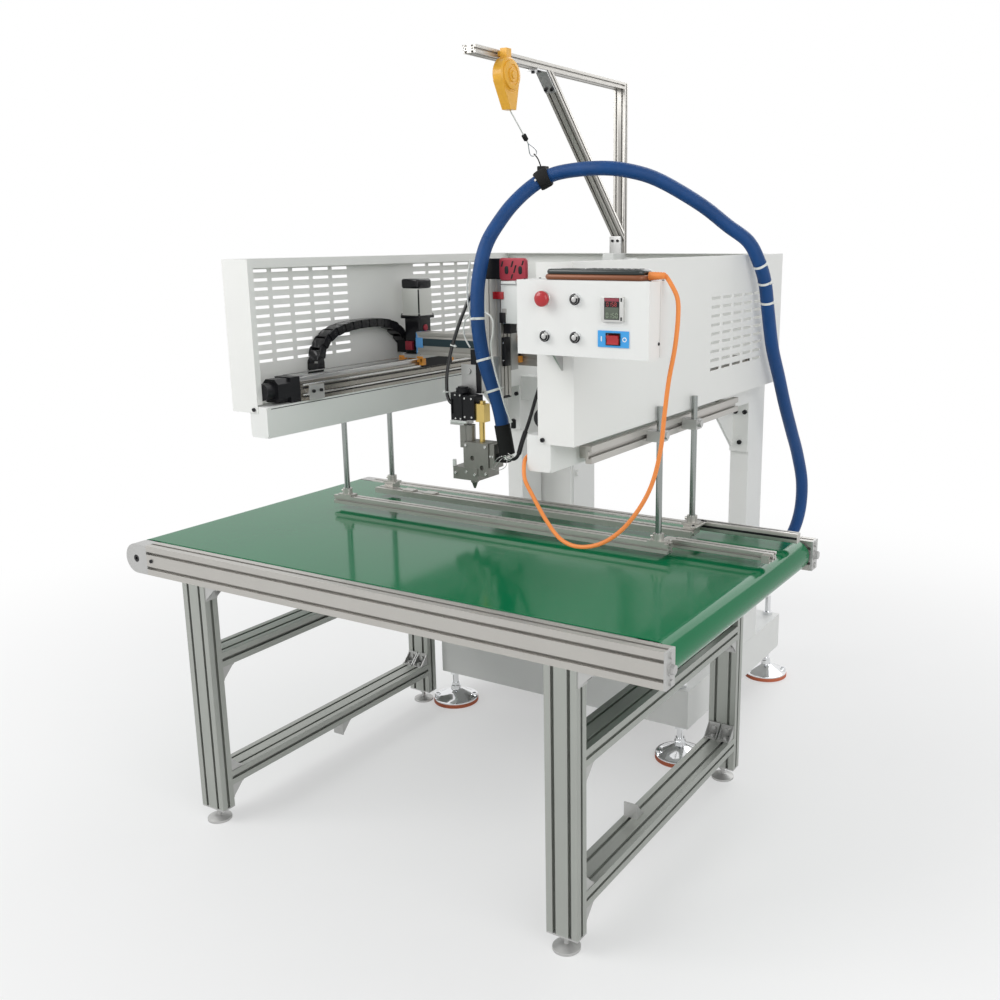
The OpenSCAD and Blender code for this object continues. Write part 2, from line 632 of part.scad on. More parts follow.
module y_carriages() {
  for (i = [0, 1]) {
    x = beam_x[i] - 13;
    y1 = carriage_y + carriage_len;
    color(black) difference() {
      bx(x + 2, x + 84, carriage_y + 8, y1 - 8, axis_top - 14, plate_z - 10);
      bx(x + 13 - slide_gap, x + 13 + column_w + slide_gap, carriage_y, y1, axis_top - 15, axis_top + 8 + slide_gap);
    }
    color(steel) bx(x, x + 86, carriage_y, y1, plate_z - 10, plate_z);
    color(orange) for (s = [2, 62]) for (y = [carriage_y, y1 - 8])
      bx(x + s, x + s + 22, y, y + 8, axis_top + 9, plate_z - 10);
    color(orange) for (s = [2, 75 - slide_gap]) for (y = [carriage_y, y1 - 8])
      bx(x + s, x + s + 9, y, y + 8, axis_top - 8, axis_top + 9);
  }
  color(black) {
    // lug in the last fork of the chain
    along_x(chain_x + tongue_x, chain_x + chain_w - tongue_x, 0, 0) {
      translate(chain_end) circle(r = tongue_r);
      translate([chain_end[0] - 6, plate_z]) square([14, chain_end[1] - plate_z]);
    }
    bx(chain_x + tongue_x, beam_x[0] - 9, chain_end[0] - 6, chain_end[0] + 20, plate_z, plate_z + 8);
  }
}

module x_beam() color(alu) {
  y0 = cross_y;
  y1 = cross_y + cross_d;
  along_x(cross_x0 + 6, cross_x1 - 6, y0 + cross_d / 2, cross_z + cross_h / 2) difference() {
    square([cross_d, cross_h], center = true);
    for (s = [-1, 1]) {
      translate([-cross_d / 2, s * 22]) square([8, 6], center = true);
      translate([s * 15, cross_h / 2]) square([8, 8], center = true);
      translate([s * 15, -cross_h / 2]) square([8, 8], center = true);
    }
    translate([cross_d / 2, 0]) square([10, 8], center = true);
  }
  bx(cross_x0, cross_x0 + 6, y0, y1, cross_z, cross_z + cross_h);
  bx(cross_x1 - 6, cross_x1, y0, y1, cross_z, cross_z + cross_h);
  bx(cross_x0 + 6, cross_x1 - 6, y0 - 2, y0, cross_z + 28, cross_z + 50);
  bx(640, cross_x1 - 60, y0 + 2, y0 + 50, cross_z - 12, cross_z);
}

module servo() {
  x0 = 224;
  y0 = 815;
  z0 = plate_z;
  color(black) {
    bx(x0 + 2, x0 + servo_w - 2, y0 + 4, y0 + servo_w - 4, z0, z0 + 106);
    bx(x0 - 3, x0 + servo_w + 3, y0 - 3, y0 + servo_w + 3, z0 + 106, z0 + 114);
    bx(x0 + 1, x0 + servo_w - 1, y0 + 1, y0 + servo_w - 1, z0 + 188, z0 + 214);
  }
  color(steel) bx(x0, x0 + servo_w, y0, y0 + servo_w, z0 + 114, z0 + 188);
}

// pin i of the chain, in the plane of y and z
function chain_pin(i) = i == 0 ? chain_foot
  : chain_pin(i - 1) + chain_pitch * [cos(chain_slope[i - 1]), sin(chain_slope[i - 1])];
chain_end = chain_pin(len(chain_slope));
tongue_r = chain_h / 2 - chain_lid - chain_gap;
tongue_x = chain_wall + chain_gap;
// one side wall: a tongue that swings inside the fork of the link before it
module chain_side() {
  m0 = 0.42 * chain_pitch;
  m1 = 0.62 * chain_pitch;
  along_x(tongue_x, tongue_x + chain_wall, 0, 0) {
    circle(r = tongue_r);
    translate([0, -tongue_r]) square([m1, 2 * tongue_r]);
  }
  along_x(0, tongue_x + chain_wall, 0, 0) translate([m0, -chain_h / 2]) square([m1 - m0, chain_h]);
  difference() {
    along_x(0, chain_wall, 0, 0) {
      translate([m0, -chain_h / 2]) square([chain_pitch - m0, chain_h]);
      translate([chain_pitch, 0]) circle(r = chain_h / 2);
    }
    bar_x(-1, 0.8, chain_pitch, 0, 4.5);
  }
}
// one link: two side walls, the wide lid outside the bend and the short one inside
module chain_link() {
  chain_side();
  translate([chain_w, 0, 0]) mirror([1, 0, 0]) chain_side();
  bx(tongue_x, chain_w - tongue_x, 1.5, chain_pitch - 1.5, chain_h / 2 - chain_lid, chain_h / 2);
  bx(tongue_x, chain_w - tongue_x, 7, chain_pitch - 7, -chain_h / 2, chain_lid - chain_h / 2);
}
module drag_chain() color(black) for (i = [0:len(chain_slope) - 1])
  translate([chain_x, chain_pin(i)[0], chain_pin(i)[1]]) rotate([chain_slope[i], 0, 0]) chain_link();

// ---- cross carriage and lifting axis
module x_slide() {
  y1 = cross_y - 2 - slide_gap;
  color(black) bx(560, 647, y1 - 16, y1, cross_z + 2, cross_z + cross_h + 4);
  color(orange) for (z = [cross_z - 2, cross_z + cross_h - 10]) bx(647, 667, y1 - 16, y1, z, z + 18);
  color(black) bx(647, 660, y1 - 14, y1, cross_z + 16, cross_z + cross_h - 10);
  color(steel) bx(572, 662, lift_y + lift_d, y1 - 16, cross_z - 20, cross_z + cross_h + 20);
}

module z_module() {
  color(alu) along_z(lift_z, lift_z + lift_h, lift_x + lift_w / 2, lift_y + lift_d / 2) difference() {
    square([lift_w, lift_d], center = true);
    for (s = [-1, 1]) {
      translate([s * lift_w / 2, 8]) square([8, 6], center = true);
      translate([s * lift_w / 2, -10]) square([8, 6], center = true);
      translate([s * 12, -lift_d / 2]) square([5, 6], center = true);
    }
  }
  color(steel) bx(lift_x + 52, lift_x + 110, lift_y + 4, lift_y + 62, lift_z + 200, lift_z + lift_h - 6);
  color(black) {
    bx(lift_x + lift_w, lift_x + 70, lift_y + 14, lift_y + 46, lift_z + 172, lift_z + 200);
    bx(lift_x + 56, lift_x + 70, lift_y - 4, lift_y + 4, lift_z + 225, lift_z + 241);
    bx(lift_x, lift_x + lift_w, lift_y, lift_y + lift_d, lift_z - 8, lift_z);
  }
}

module belt_housing() {
  z0 = lift_z + lift_h - 6;
  color([0.60, 0.08, 0.12]) difference() {
    bx(lift_x + 36, lift_x + 120, lift_y - 6, lift_y + 62, z0, z0 + 60);
    for (s = [62, 96]) bar_y(lift_y - 7, lift_y + 14, lift_x + s, z0 + 30, 10);
    bx(lift_x - 1, lift_x + lift_w, lift_y - 7, lift_y + lift_d + 1, z0 - 1, z0 + 6);
  }
  color(black) bx(lift_x, lift_x + 36, lift_y, lift_y + 56, z0 + 6, z0 + 60);
}

module z_slide() {
  y1 = lift_y - slide_gap;
  color(black) bx(566, 600, gun_y + 26, y1, lift_z + 4, lift_z + 126);
  color(alu) {
    bx(600, 658, gun_y + 28, y1, lift_z + 10, lift_z + 110);
    bx(534, 584, gun_y + 24.2, gun_y + 28, lift_z + 2, lift_z + 84);
  }
  color(chrome) bar_y(gun_y + 20, gun_y + 24.2, 560, lift_z + 66, 8);
}

module gun_valve() color(black) {
  difference() {
    bx(528, 566, gun_y - 22, gun_y + 22, 1032, 1110);
    bx(531, 540, gun_y - 23, gun_y - 18, 1050, 1092);
  }
  bx(566, 606, gun_y - 20, gun_y + 24, 1036, 1104);
  bar_z(1110, 1122, 556, gun_y, 20);
  bar_z(1122, 1126, 556, gun_y, 15);
}

module gun_body() color([0.42, 0.41, 0.38]) {
  bx(526, 572, gun_y - 24, gun_y + 24, 1020, 1032);
  bar_z(955, 1020, 577, gun_y, 15);
  bx(552, 572, gun_y - 15, gun_y + 15, 955, 1020);
  difference() {
    bx(570, 654, gun_y - 26, gun_y + 26, 880, 975);
    for (p = [[600, 930], [632, 905]]) bar_y(gun_y - 27, gun_y - 18, p[0], p[1], 7);
  }
  bx(654, 672, gun_y - 22, gun_y + 22, 906, 974);
  bx(534, 618, gun_y - 28, gun_y + 28, 866, 902);
  bar_z(tip_z + 18, 866, 588, gun_y, 11);
  translate([588, gun_y, tip_z]) cylinder(h = 18, r1 = 3, r2 = 9);
}

module gun_fittings() color([0.72, 0.60, 0.22]) {
  bx(606, 636, gun_y - 14, gun_y + 14, 1032, 1082);
  bar_z(1082, 1090, 621, gun_y, 9);
  bar_z(975, 1032, 618, gun_y, 8);
}

module hose_boot() color(black) {
  p = hose_pts[0];
  q = hose_pts[1];
  d = q - p;
  translate(p) rotate([0, acos(d[2] / norm(d)), atan2(d[1], d[0])]) {
    difference() {
      cylinder(h = 80, r = hose_r + 3);
      translate([0, 0, -1]) cylinder(h = 82, r = hose_r + 0.1);
    }
    translate([0, 0, -10]) cylinder(h = 10, r = 13);
    translate([0, 0, -3]) difference() {
      cylinder(h = 3, r = hose_r + 3);
      translate([0, 0, -1]) cylinder(h = 5, r = 12);
    }
  }
  bx(672, 706, gun_y - 12, gun_y + 12, 924, 946);
}

// ---- heated hose, one run for each moving part it follows
module hose_part(i) color(blue) sweep(hose_pts, hose_r, 10, hose_cut[i], hose_cut[i + 1]);
module hose_z() hose_part(0);
module hose_x() hose_part(1);
module hose_y() hose_part(2);
module hose_run() hose_part(3);
module gun_cables() color(black) {
  sweep(valve_cable_pts, 5, 8);
  sweep(heater_cable_pts, 5, 8);
}

// ---- guides over the belt
module carrier_rails() color(alu) {
  for (i = [0, 1]) along_y(carrier_y0, carrier_y1, carrier_x[i] + carrier_t / 2, clamp_z)
    mirror([i, 0, 0]) difference() {
      square([carrier_t, carrier_h], center = true);
      translate([-carrier_t / 2, 0]) square([10, 10], center = true);
      translate([-carrier_t / 2 + 6, 0]) square([5, 18], center = true);
    }
  for (y = [300, 690, 1080]) bx(base_x1, base_x1 + carrier_gap, y, y + 40, carrier_z + 6, carrier_z + carrier_h - 6);
}

// cross clamp on a slotted rail, open for the rod
module carrier_clamp(i, y) {
  x = rod_x[i];
  s = i == 0 ? 1 : -1;
  face = x + s * (clamp_reach - slide_gap);
  difference() {
    bx(min(face, x - s * 14), max(face, x - s * 14), y - 18, y + 18, clamp_z - 13, clamp_z + 13);
    bar_z(clamp_z - 14, clamp_z + 14, x, y, rod_r + rod_fit);
  }
  bar_x(min(x - s * 14, x - s * 22), max(x - s * 14, x - s * 22), y, clamp_z + 2, 9);
}
module front_clamps() color(steel) for (i = [0, 1]) carrier_clamp(i, rod_front);
module rear_clamps() color(steel) for (i = [0, 1]) carrier_clamp(i, rod_rear);

module front_rods() color(chrome) for (x = rod_x) bar_z(rod_z, rod_z + rod_len, x, rod_front, rod_r);
module rear_rods() color(chrome) for (x = rod_x) bar_z(rod_z, rod_z + rod_len, x, rod_rear, rod_r);

// seat plate with a collar that holds the lower end of a rod
module rod_seat(x, y) {
  bx(x - 24, x + 24, y - 15, y + 15, rod_z - seat_t, rod_z);
  difference() {
    bar_z(rod_z, rod_z + collar_h, x, y, 14);
    bar_z(rod_z - 1, rod_z + collar_h + 1, x, y, rod_r);
  }
  bar_x(x - 20, x - 13, y, rod_z + 8, 4);
}

module front_guide() color(alu) {
  along_x(150, 1244, (guide_y0 + guide_y1) / 2, guide_z + guide_h / 2)
    profile(guide_t, guide_h, 1, 1, 6, 2, 11, 6, 2);
  for (x = rod_x) rod_seat(x, rod_front);
  along_x(rod_x[1] + 17, 1492, rod_front + 66, guide_z + 10)
    profile(30, 20, 1, 1, 6, 2, 11, 6, 2);
  bx(rod_x[1] - 10, rod_x[1] + 17, guide_y1, rod_front + 76, guide_z, guide_z + 20);
  bx(1466, 1486, rod_front + 45, rod_front + 51, guide_z - 4, guide_z + 16);
}

module rear_guide() color(alu) {
  y1 = rear_bar_y + rear_w;
  along_x(rod_x[0] - 24, rod_x[1] + 20, rear_bar_y + rear_w / 2, guide_z + 8)
    profile(rear_w, 16, 1, 0, 8, 2, 14, 6, 2);
  for (x = rod_x) {
    bx(x - 17, x + 17, y1, rod_rear + 15, guide_z, rod_z - seat_t);
    rod_seat(x, rod_rear);
  }
  for (x = [270, 350]) bx(x, x + 40, rear_bar_y + 4, y1 - 4, guide_z + 16, guide_z + 20);
}

// ---- overhead frame and balancer
module flat_profile() profile(frame_w, frame_t, 2, 1, 5, 1.8, 8, 5, 2);
module overhead_frame() color(alu) {
  along_z(foot_block_z, frame_top, frame_mid, post_y + frame_t / 2) flat_profile();
  along_y(arm_tip, post_y, frame_mid, frame_mid_z) flat_profile();
  // brace at 45 degrees, cut off level under the arm and upright at the post
  intersection() {
    translate([frame_mid, brace_y, frame_low]) rotate([-45, 0, 0])
      along_y(-40, 720, 0, frame_t / 2) flat_profile();
    bx(frame_x - 1, frame_x + frame_w + 1, brace_y - 1, post_y, foot_block_z, frame_low);
  }
  // bent plate under the corner of arm and brace
  along_x(frame_x + 2, frame_x + frame_w - 2, brace_y, frame_low)
    polygon([[-gusset_in, 0], [-gusset_bend, 0], [gusset_bend * cos(45), -gusset_bend * cos(45)],
      [gusset_down, -gusset_down],
      [gusset_down - gusset_t * cos(45), -gusset_down - gusset_t * cos(45)],
      [-gusset_t * tan(22.5), -gusset_t], [-gusset_in, -gusset_t]]);
  bx(frame_x + 2, frame_x + frame_w - 2, post_y - 6, post_y, foot_block_z, foot_block_z + 36);
}

module balancer() color([0.85, 0.56, 0.10]) {
  x0 = frame_x + frame_w + 4;
  translate([x0, drum_y, drum_z]) rotate([0, 90, 0]) rotate_extrude()
    polygon([[0, 0], [drum_r - 4, 0], [drum_r, 4], [drum_r, drum_t - 4], [drum_r - 4, drum_t],
      [drum_r - 7, drum_t], [drum_r - 8, drum_t + 5], [26, drum_t + 6], [25, drum_t + 4],
      [18, drum_t + 4], [17, drum_t + 7], [10, drum_t + 7], [9, drum_t + 10], [0, drum_t + 10]]);
  along_x(x0 + 2, x0 + drum_t - 2, drum_y, drum_z)
    polygon([[3 - drum_r, -16], [-1, -spout_h], [24, -spout_h], [drum_r - 2, -12]]);
  bx(x0 + 6, x0 + 26, drum_y - 11, drum_y + 11, drum_z + 30, frame_mid_z + 12);
  bar_x(frame_x + frame_w, x0 + 6, drum_y, frame_mid_z, 8);
}

module balancer_line() color(black) {
  p = [frame_x + frame_w + 4 + drum_t / 2, drum_y + 12, drum_z - spout_h - 1.5];
  q = [702, 852, 1722];
  d = q - p;
  translate(p) rotate([0, acos(d[2] / norm(d)), atan2(d[1], d[0])]) {
    cylinder(h = norm(d), r = 1.5);
    translate([0, 0, norm(d) * 0.5]) cylinder(h = 16, r = 5);
  }
  c0 = hose_pts[clamp_at];
  c1 = hose_pts[clamp_at + 1];
  e = c1 - c0;
  translate(c0) rotate([0, acos(e[2] / norm(e)), atan2(e[1], e[0])])
    translate([0, 0, 4]) difference() {
      cylinder(h = 48, r = hose_r + 9);
      translate([0, 0, -1]) cylinder(h = 50, r = hose_r);
    }
  bx(694, 710, 844, 860, 1704, 1724);
}

// ---- control box
module control_box() {
  y0 = box_y;
  y1 = cover_front;
  color(white) difference() {
    bx(box_x, box_x + box_w, y0, y1, box_z, box_z + box_h);
    bar_y(y0 - 1, y0 + 30, stop_x, stop_z, 6.5);
    for (i = [0:2]) bar_y(y0 - 1, y0 + 30, key_x[i], key_z[i], button_r - 3.5);
    bx(meter_x - 13.2, meter_x + 13.2, y0 - 1, y0 + 26, rocker_z - 9.7, rocker_z + 9.7);
  }
  color(chrome) for (i = [0:2]) difference() {
    bar_y(y0 - 5, y0, key_x[i], key_z[i], button_r + 3);
    bar_y(y0 - 6, y0 + 1, key_x[i], key_z[i], button_r + 0.4);
  }
  color(steel) {
    bx(box_x + 4, box_x + 165, cover_front - 40, cover_front, box_z - 5, box_z);
    translate([0, 0, 0]) along_x(cover_x1 - 30, cover_x1 - 26, 0, 0)
      polygon([[cover_front, box_z - 5], [cover_front - 38, box_z - 5], [cover_front, box_z - 43]]);
  }
}

module controller() color(black) {
  difference() {
    bx(meter_x - meter_w / 2, meter_x + meter_w / 2, box_y - 7, box_y, meter_z - meter_w / 2, meter_z + meter_w / 2);
    bx(meter_x - meter_w / 2 + 4, meter_x + meter_w / 2 - 4, box_y - 8, box_y - 5, meter_z - 2, meter_z + meter_w / 2 - 4);
  }
  for (i = [0:3]) bx(meter_x - 19 + i * 10, meter_x - 12 + i * 10, box_y - 8.5, box_y - 7, meter_z - 18, meter_z - 12);
}

module switch_plate() color([0.12, 0.55, 0.80]) difference() {
  bx(meter_x - 34, meter_x + 34, box_y - 2, box_y, rocker_z - 16, rocker_z + 16);
  bx(meter_x - 13.2, meter_x + 13.2, box_y - 3, box_y + 1, rocker_z - 9.7, rocker_z + 9.7);
}

module rocker() color([0.65, 0.07, 0.07]) translate([meter_x, box_y + 4, rocker_z])
  rotate([8, 0, 0]) {
    along_x(-12.8, 12.8, 0, 0) polygon([[-11, -8.6], [-8.2, 0], [-11, 8.6], [7, 8.0], [9, 0], [7, -8.0]]);
    // pivot pins
    bar_x(-13.1, 13.1, 0, 0, 2);
  }

module e_stop() color([0.80, 0.06, 0.06]) {
  bar_y(box_y - 14, box_y + 22, stop_x, stop_z, 6.42);
  bar_y(box_y - 26, box_y - 14, stop_x, stop_z, stop_r);
  translate([stop_x, box_y - 26, stop_z]) rotate([90, 0, 0]) cylinder(h = 4, r1 = stop_r, r2 = stop_r - 4);
}

module button(i) {
  bar_y(box_y - 9, box_y - 3.5, key_x[i], key_z[i], button_r);
  bar_y(box_y - 3.5, box_y + 22, key_x[i], key_z[i], button_r - 3.58);
}
module button_a() color(chrome) button(0);
module button_b() color(chrome) button(1);
module button_c() color(chrome) button(2);

module pendant() {
  z = box_z + box_h;
  color([0.55, 0.20, 0.08]) bx(1152, 1396, 100, 156, z, z + 9);
  color(black) bx(1156, 1392, 103, 153, z + 9, z + 19);
  color(black) bx(1200, 1230, 112, 140, z + 19, z + 21);
}

module pendant_cable() color(orange) {
  sweep(orange_pts, 4.5, 8);
  translate([1396, 130, box_z + box_h + 9]) rotate([0, 88, 0]) cylinder(h = 33, r1 = 8, r2 = 6);
}

place() side_rails();
place() rail_ends();
place() belt();
place() slider_bed();
place() return_cover();
place() legs();
place() cross_members();
place() corner_brackets();
place() table_feet();
place() drive_roller();
place() tail_roller();
place() base_frame();
place() machine_feet();
place() foot_pads();
place() columns();
place() arm_beams();
place() left_cover();
place() right_cover();
place() rear_cover();
place() cabinet();
place() cap_screws();
place() y_modules();
place() overhead_frame();
place() balancer();
place() balancer_line();
place() hose_run();
place() carrier_rails();
place() control_box();
place() controller();
place() switch_plate();
place() pendant();
place() pendant_cable();
place() e_stop();
place() button_a();
place() button_b();
place() button_c();
place() rocker();
place() front_clamps();
place() front_rods();
place() front_guide();
place() rear_clamps();
place() rear_rods();
place() rear_guide();
place() y_carriages();
place() x_beam();
place() servo();
place() drag_chain();
place() hose_y();
place() x_slide();
place() z_module();
place() belt_housing();
place() hose_x();
place() z_slide();
place() gun_valve();
place() gun_body();
place() gun_fittings();
place() hose_boot();
place() hose_z();
place() gun_cables();
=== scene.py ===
# %% [markdown]
# # An inline glue dispensing machine
# A belt table stands under a gluing head. The head hangs from two long axes on the arms of a
# stand, and a heated hose brings the glue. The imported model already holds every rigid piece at
# its real size, so this lesson adds what the eye needs: finishes, rounded edges, cords that bend,
# and the small pieces that a maker would miss.

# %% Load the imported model
import math
from collections import namedtuple

import bpy
import numpy as np
from mathutils import Matrix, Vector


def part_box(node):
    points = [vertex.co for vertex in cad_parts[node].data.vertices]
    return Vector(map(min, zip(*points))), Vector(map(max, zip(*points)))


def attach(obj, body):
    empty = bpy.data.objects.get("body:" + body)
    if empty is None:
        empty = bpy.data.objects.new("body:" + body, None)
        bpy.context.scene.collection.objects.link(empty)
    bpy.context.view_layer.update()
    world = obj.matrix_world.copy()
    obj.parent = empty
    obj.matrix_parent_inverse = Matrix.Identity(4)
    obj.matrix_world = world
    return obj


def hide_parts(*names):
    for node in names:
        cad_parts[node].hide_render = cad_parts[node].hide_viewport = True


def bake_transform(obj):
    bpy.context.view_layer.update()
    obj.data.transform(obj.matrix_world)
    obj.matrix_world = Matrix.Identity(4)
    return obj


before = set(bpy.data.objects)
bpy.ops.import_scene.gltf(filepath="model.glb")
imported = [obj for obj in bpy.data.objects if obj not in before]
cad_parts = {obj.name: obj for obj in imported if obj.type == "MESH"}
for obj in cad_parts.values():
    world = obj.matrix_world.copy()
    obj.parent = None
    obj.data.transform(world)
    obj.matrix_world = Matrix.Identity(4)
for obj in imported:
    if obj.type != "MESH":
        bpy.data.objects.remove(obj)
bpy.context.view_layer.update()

# %% [markdown]
# ## Lengths and places
# A maker measures the machine in millimetres from the front left corner of the belt table, and
# Blender works in metres from the middle of the machine. One function turns the first into the
# second, so every size below can be read off the real machine.

# %% From the corner of the table to the frame
MM = 0.001
CORNER = np.array(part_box("side_rails")[0]) * [1, 1, 0]


def at(points):
    """Row-frame place = corner of the table + millimetres / 1000. Takes one point or an array."""
    return CORNER + np.asarray(points, float) * MM


print("corner of the table at", CORNER.round(4))

# %% [markdown]
# ## A camera at the photograph's viewing angle
# A camera matrix is three directions and a place. The directions follow from three angles: yaw to
# the left, pitch down and a little roll. The focal length and the shift place the machine in the
# frame. Dragging the camera by hand would do too, but its place couldn't be explained afterwards.

# %% Camera
CAMERA_AT = (1.6088, -2.6284, 1.5267)
YAW, PITCH, ROLL = (math.radians(v) for v in (30.307, 13.544, -0.240))
SENSOR, LENS, SHIFT = 36.0, 38.444, (-0.0749, -0.0042)
FARTHEST = 60.0


def stand(right, up, ahead, place):
    """The matrix of a thing that looks along its own -Z: columns right, up, -ahead and place."""
    matrix = np.eye(4)
    matrix[:3, :] = np.column_stack([right, up, -ahead, place])
    return Matrix(matrix.tolist())


def camera_matrix(place, yaw, pitch, roll):
    """Forward = (-sin yaw cos pitch, cos yaw cos pitch, -sin pitch), right = (cos yaw, sin yaw, 0),
    up = right x forward, and right and up are then turned by the roll."""
    ahead = np.array([-math.sin(yaw) * math.cos(pitch), math.cos(yaw) * math.cos(pitch), -math.sin(pitch)])
    right = np.array([math.cos(yaw), math.sin(yaw), 0.0])
    up = np.cross(right, ahead)
    turned_right = math.cos(roll) * right + math.sin(roll) * up
    turned_up = -math.sin(roll) * right + math.cos(roll) * up
    return stand(turned_right, turned_up, ahead, place)


lens = bpy.data.cameras.new("camera")
lens.sensor_width = SENSOR
lens.lens = LENS
lens.shift_x, lens.shift_y = SHIFT
lens.clip_end = FARTHEST
camera = bpy.data.objects.new("camera", lens)
camera.matrix_world = camera_matrix(CAMERA_AT, YAW, PITCH, ROLL)
bpy.context.scene.collection.objects.link(camera)
bpy.context.scene.camera = camera
print("camera", CAMERA_AT, "with a lens of", LENS, "mm")

# %% [markdown]
# ## Surfaces from arrays
# Every new piece is a grid of points: rings along a path, or a profile turned round an axis. NumPy
# works out the whole grid at once, and the mesh takes it with foreach_set. Building by hand with
# loops over vertices gives the same mesh, only slower and harder to read.
# A skin holds points, the corners of its faces, how many corners each face has, where each corner
# lies on the flat pattern, and the number of its finish.

# %% Skins
Skin = namedtuple("Skin", "points loops counts uv paint")


def surface(grid, ring=False, paint=0, pattern=None):
    """Face (i, j) joins grid points (i, j), (i, j+1), (i+1, j+1), (i+1, j), and the last column
    joins the first. A ring also joins its last row to the first; anything else gets a cap at
    each end, so every surface is closed."""
    rows, cols = grid.shape[:2]
    bands = rows if ring else rows - 1
    i, j = (v.ravel() for v in np.meshgrid(np.arange(bands), np.arange(cols), indexing="ij"))
    after, below = (j + 1) % cols, (i + 1) % rows
    loops = np.stack([i * cols + j, i * cols + after, below * cols + after, below * cols + j], 1).ravel()
    counts = np.full(len(i), 4)
    along = np.arange(rows + 1, dtype=float) if pattern is None else pattern[0]
    width = 1.0 if pattern is None else pattern[1]
    u = np.stack([j, j + 1, j + 1, j], 1).ravel() * width / cols
    v = along[np.stack([i, i, i + 1, i + 1], 1).ravel()]
    if not ring:
        loops = np.concatenate([loops, np.arange(cols)[::-1], np.arange(cols) + (rows - 1) * cols])
        counts = np.concatenate([counts, [cols, cols]])
        u, v = (np.concatenate([w, np.zeros(2 * cols)]) for w in (u, v))
    return Skin(grid.reshape(-1, 3), loops, counts, np.stack([u, v], 1), paint)


def placed(skin, turn, place):
    """A skin that was made round the corner of the table is turned by a 3 x 3 rotation and set
    down at a place in the frame: point p becomes turn (p - corner) + place."""
    return skin._replace(points=(skin.points - CORNER) @ np.asarray(turn).T + np.asarray(place))


def unit(v):
    """v divided by its length, along the last axis."""
    return v / np.linalg.norm(v, axis=-1, keepdims=True)


def round_frame(direction):
    """Two directions across a direction d: n is the least parallel axis less its part along d,
    and b = d x n."""
    direction = np.atleast_2d(direction)
    axes = np.eye(3)
    best = axes[np.argmin(np.abs(direction @ axes).max(axis=0))]
    n = unit(best - (direction @ best)[:, None] * direction)
    return n, np.cross(direction, n)


def rings(centres, radius, n, b, sides):
    """Point k of ring i = centre_i + radius_i (cos a_k n_i + sin a_k b_i), a_k = 2 pi k / sides."""
    a = np.linspace(0, 2 * np.pi, sides, endpoint=False)[None, :, None]
    r = np.broadcast_to(np.asarray(radius, float), len(centres))[:, None, None]
    return centres[:, None] + r * (np.cos(a) * n[:, None] + np.sin(a) * b[:, None])


def tube(path, radius, sides=20, paint=0):
    """Rings across a path of points in metres, closed at both ends. The flat pattern runs in
    metres: round the tube, and along it."""
    ahead = unit(np.gradient(path, axis=0))
    n, b = round_frame(ahead)
    run = np.concatenate([[0], np.cumsum(np.linalg.norm(np.diff(path, axis=0), axis=1))])
    return surface(rings(path, radius, n, b, sides), paint=paint,
                   pattern=(run, 2 * np.pi * float(np.mean(radius))))


def turned(profile, foot, axis=(0, 0, 1), sides=28, paint=0, ring=False):
    """Turns a profile of (radius, height) pairs in millimetres round an axis through foot. The
    profile of a ring is a closed outline, given with the outside going along the axis."""
    profile = np.asarray(profile, float) * MM
    axis = unit(np.asarray(axis, float))
    n, b = (np.repeat(v, len(profile), axis=0) for v in round_frame(axis))
    return surface(rings(at(foot) + profile[:, 1:] * axis, profile[:, 0], n, b, sides), ring, paint)


TURNS = [(1, 2, 0), (2, 0, 1), (0, 1, 2)]


def slab(low, high, corner=2.0, edge=0.8, up=2, steps=3, paint=0):
    """A slab with round corners and rolled edges. Seen from above, its outline is a rectangle with
    corners of radius corner; towards the top and the bottom it shrinks by edge (1 - sin t) while
    the height still rises by edge (1 - cos t), which is a quarter circle."""
    order = list(TURNS[up])
    low, high = np.array(low, float)[order], np.array(high, float)[order]
    corner = min(corner, 0.49 * min(high[0] - low[0], high[1] - low[1]))
    edge = min(edge, 0.8 * corner, 0.45 * (high[2] - low[2]))
    t = np.linspace(0, np.pi / 2, steps + 1)
    inset, rise = edge * (1 - np.sin(t)), edge * (1 - np.cos(t))
    inset = np.concatenate([inset, inset[::-1]])[:, None]
    level = np.concatenate([low[2] + rise, high[2] - rise[::-1]])[:, None]
    quarter = np.arange(4)[:, None] * np.pi / 2
    a = (quarter + t[None, :]).ravel()
    side_x, side_y = (np.repeat(s, steps + 1) for s in ([1, -1, -1, 1], [1, 1, -1, -1]))
    half, middle = (high - low) / 2, (high + low) / 2
    x = middle[0] + side_x * (half[0] - corner) + (corner - inset) * np.cos(a)
    y = middle[1] + side_y * (half[1] - corner) + (corner - inset) * np.sin(a)
    grid = np.stack([x, y, np.broadcast_to(level, x.shape)], -1)
    return surface(at(grid[..., np.argsort(order)]), paint=paint)


def plate(outline, low, high, up=2, paint=0):
    """Carries a flat outline, given counter-clockwise, from low to high along one axis."""
    outline = np.asarray(outline, float)
    grid = np.stack([np.column_stack([outline, np.full(len(outline), h)]) for h in (low, high)])
    return surface(at(grid[..., np.argsort(TURNS[up])]), paint=paint)


def spline(points, per):
    """Catmull-Rom curve with per steps between two points: from b to c, a before and d after them,
    p(t) = b + t (c-a)/2 + t^2 (a - 5b/2 + 2c - d/2) + t^3 (-a + 3b - 3c + d)/2."""
    points = np.asarray(points, float)
    p = np.vstack([2 * points[0] - points[1], points, 2 * points[-1] - points[-2]])
    a, b, c, d = (v[:, None] for v in (p[:-3], p[1:-2], p[2:-1], p[3:]))
    t = (np.arange(per) / per)[None, :, None]
    curve = b + t * (c - a) / 2 + t**2 * (a - 2.5 * b + 2 * c - d / 2) + t**3 * (-a + 3 * b - 3 * c + d) / 2
    return np.vstack([curve.reshape(-1, 3), points[-1]])


def length_of(path):
    """Sum of the distances between neighbouring points."""
    return float(np.linalg.norm(np.diff(path, axis=0), axis=1).sum())


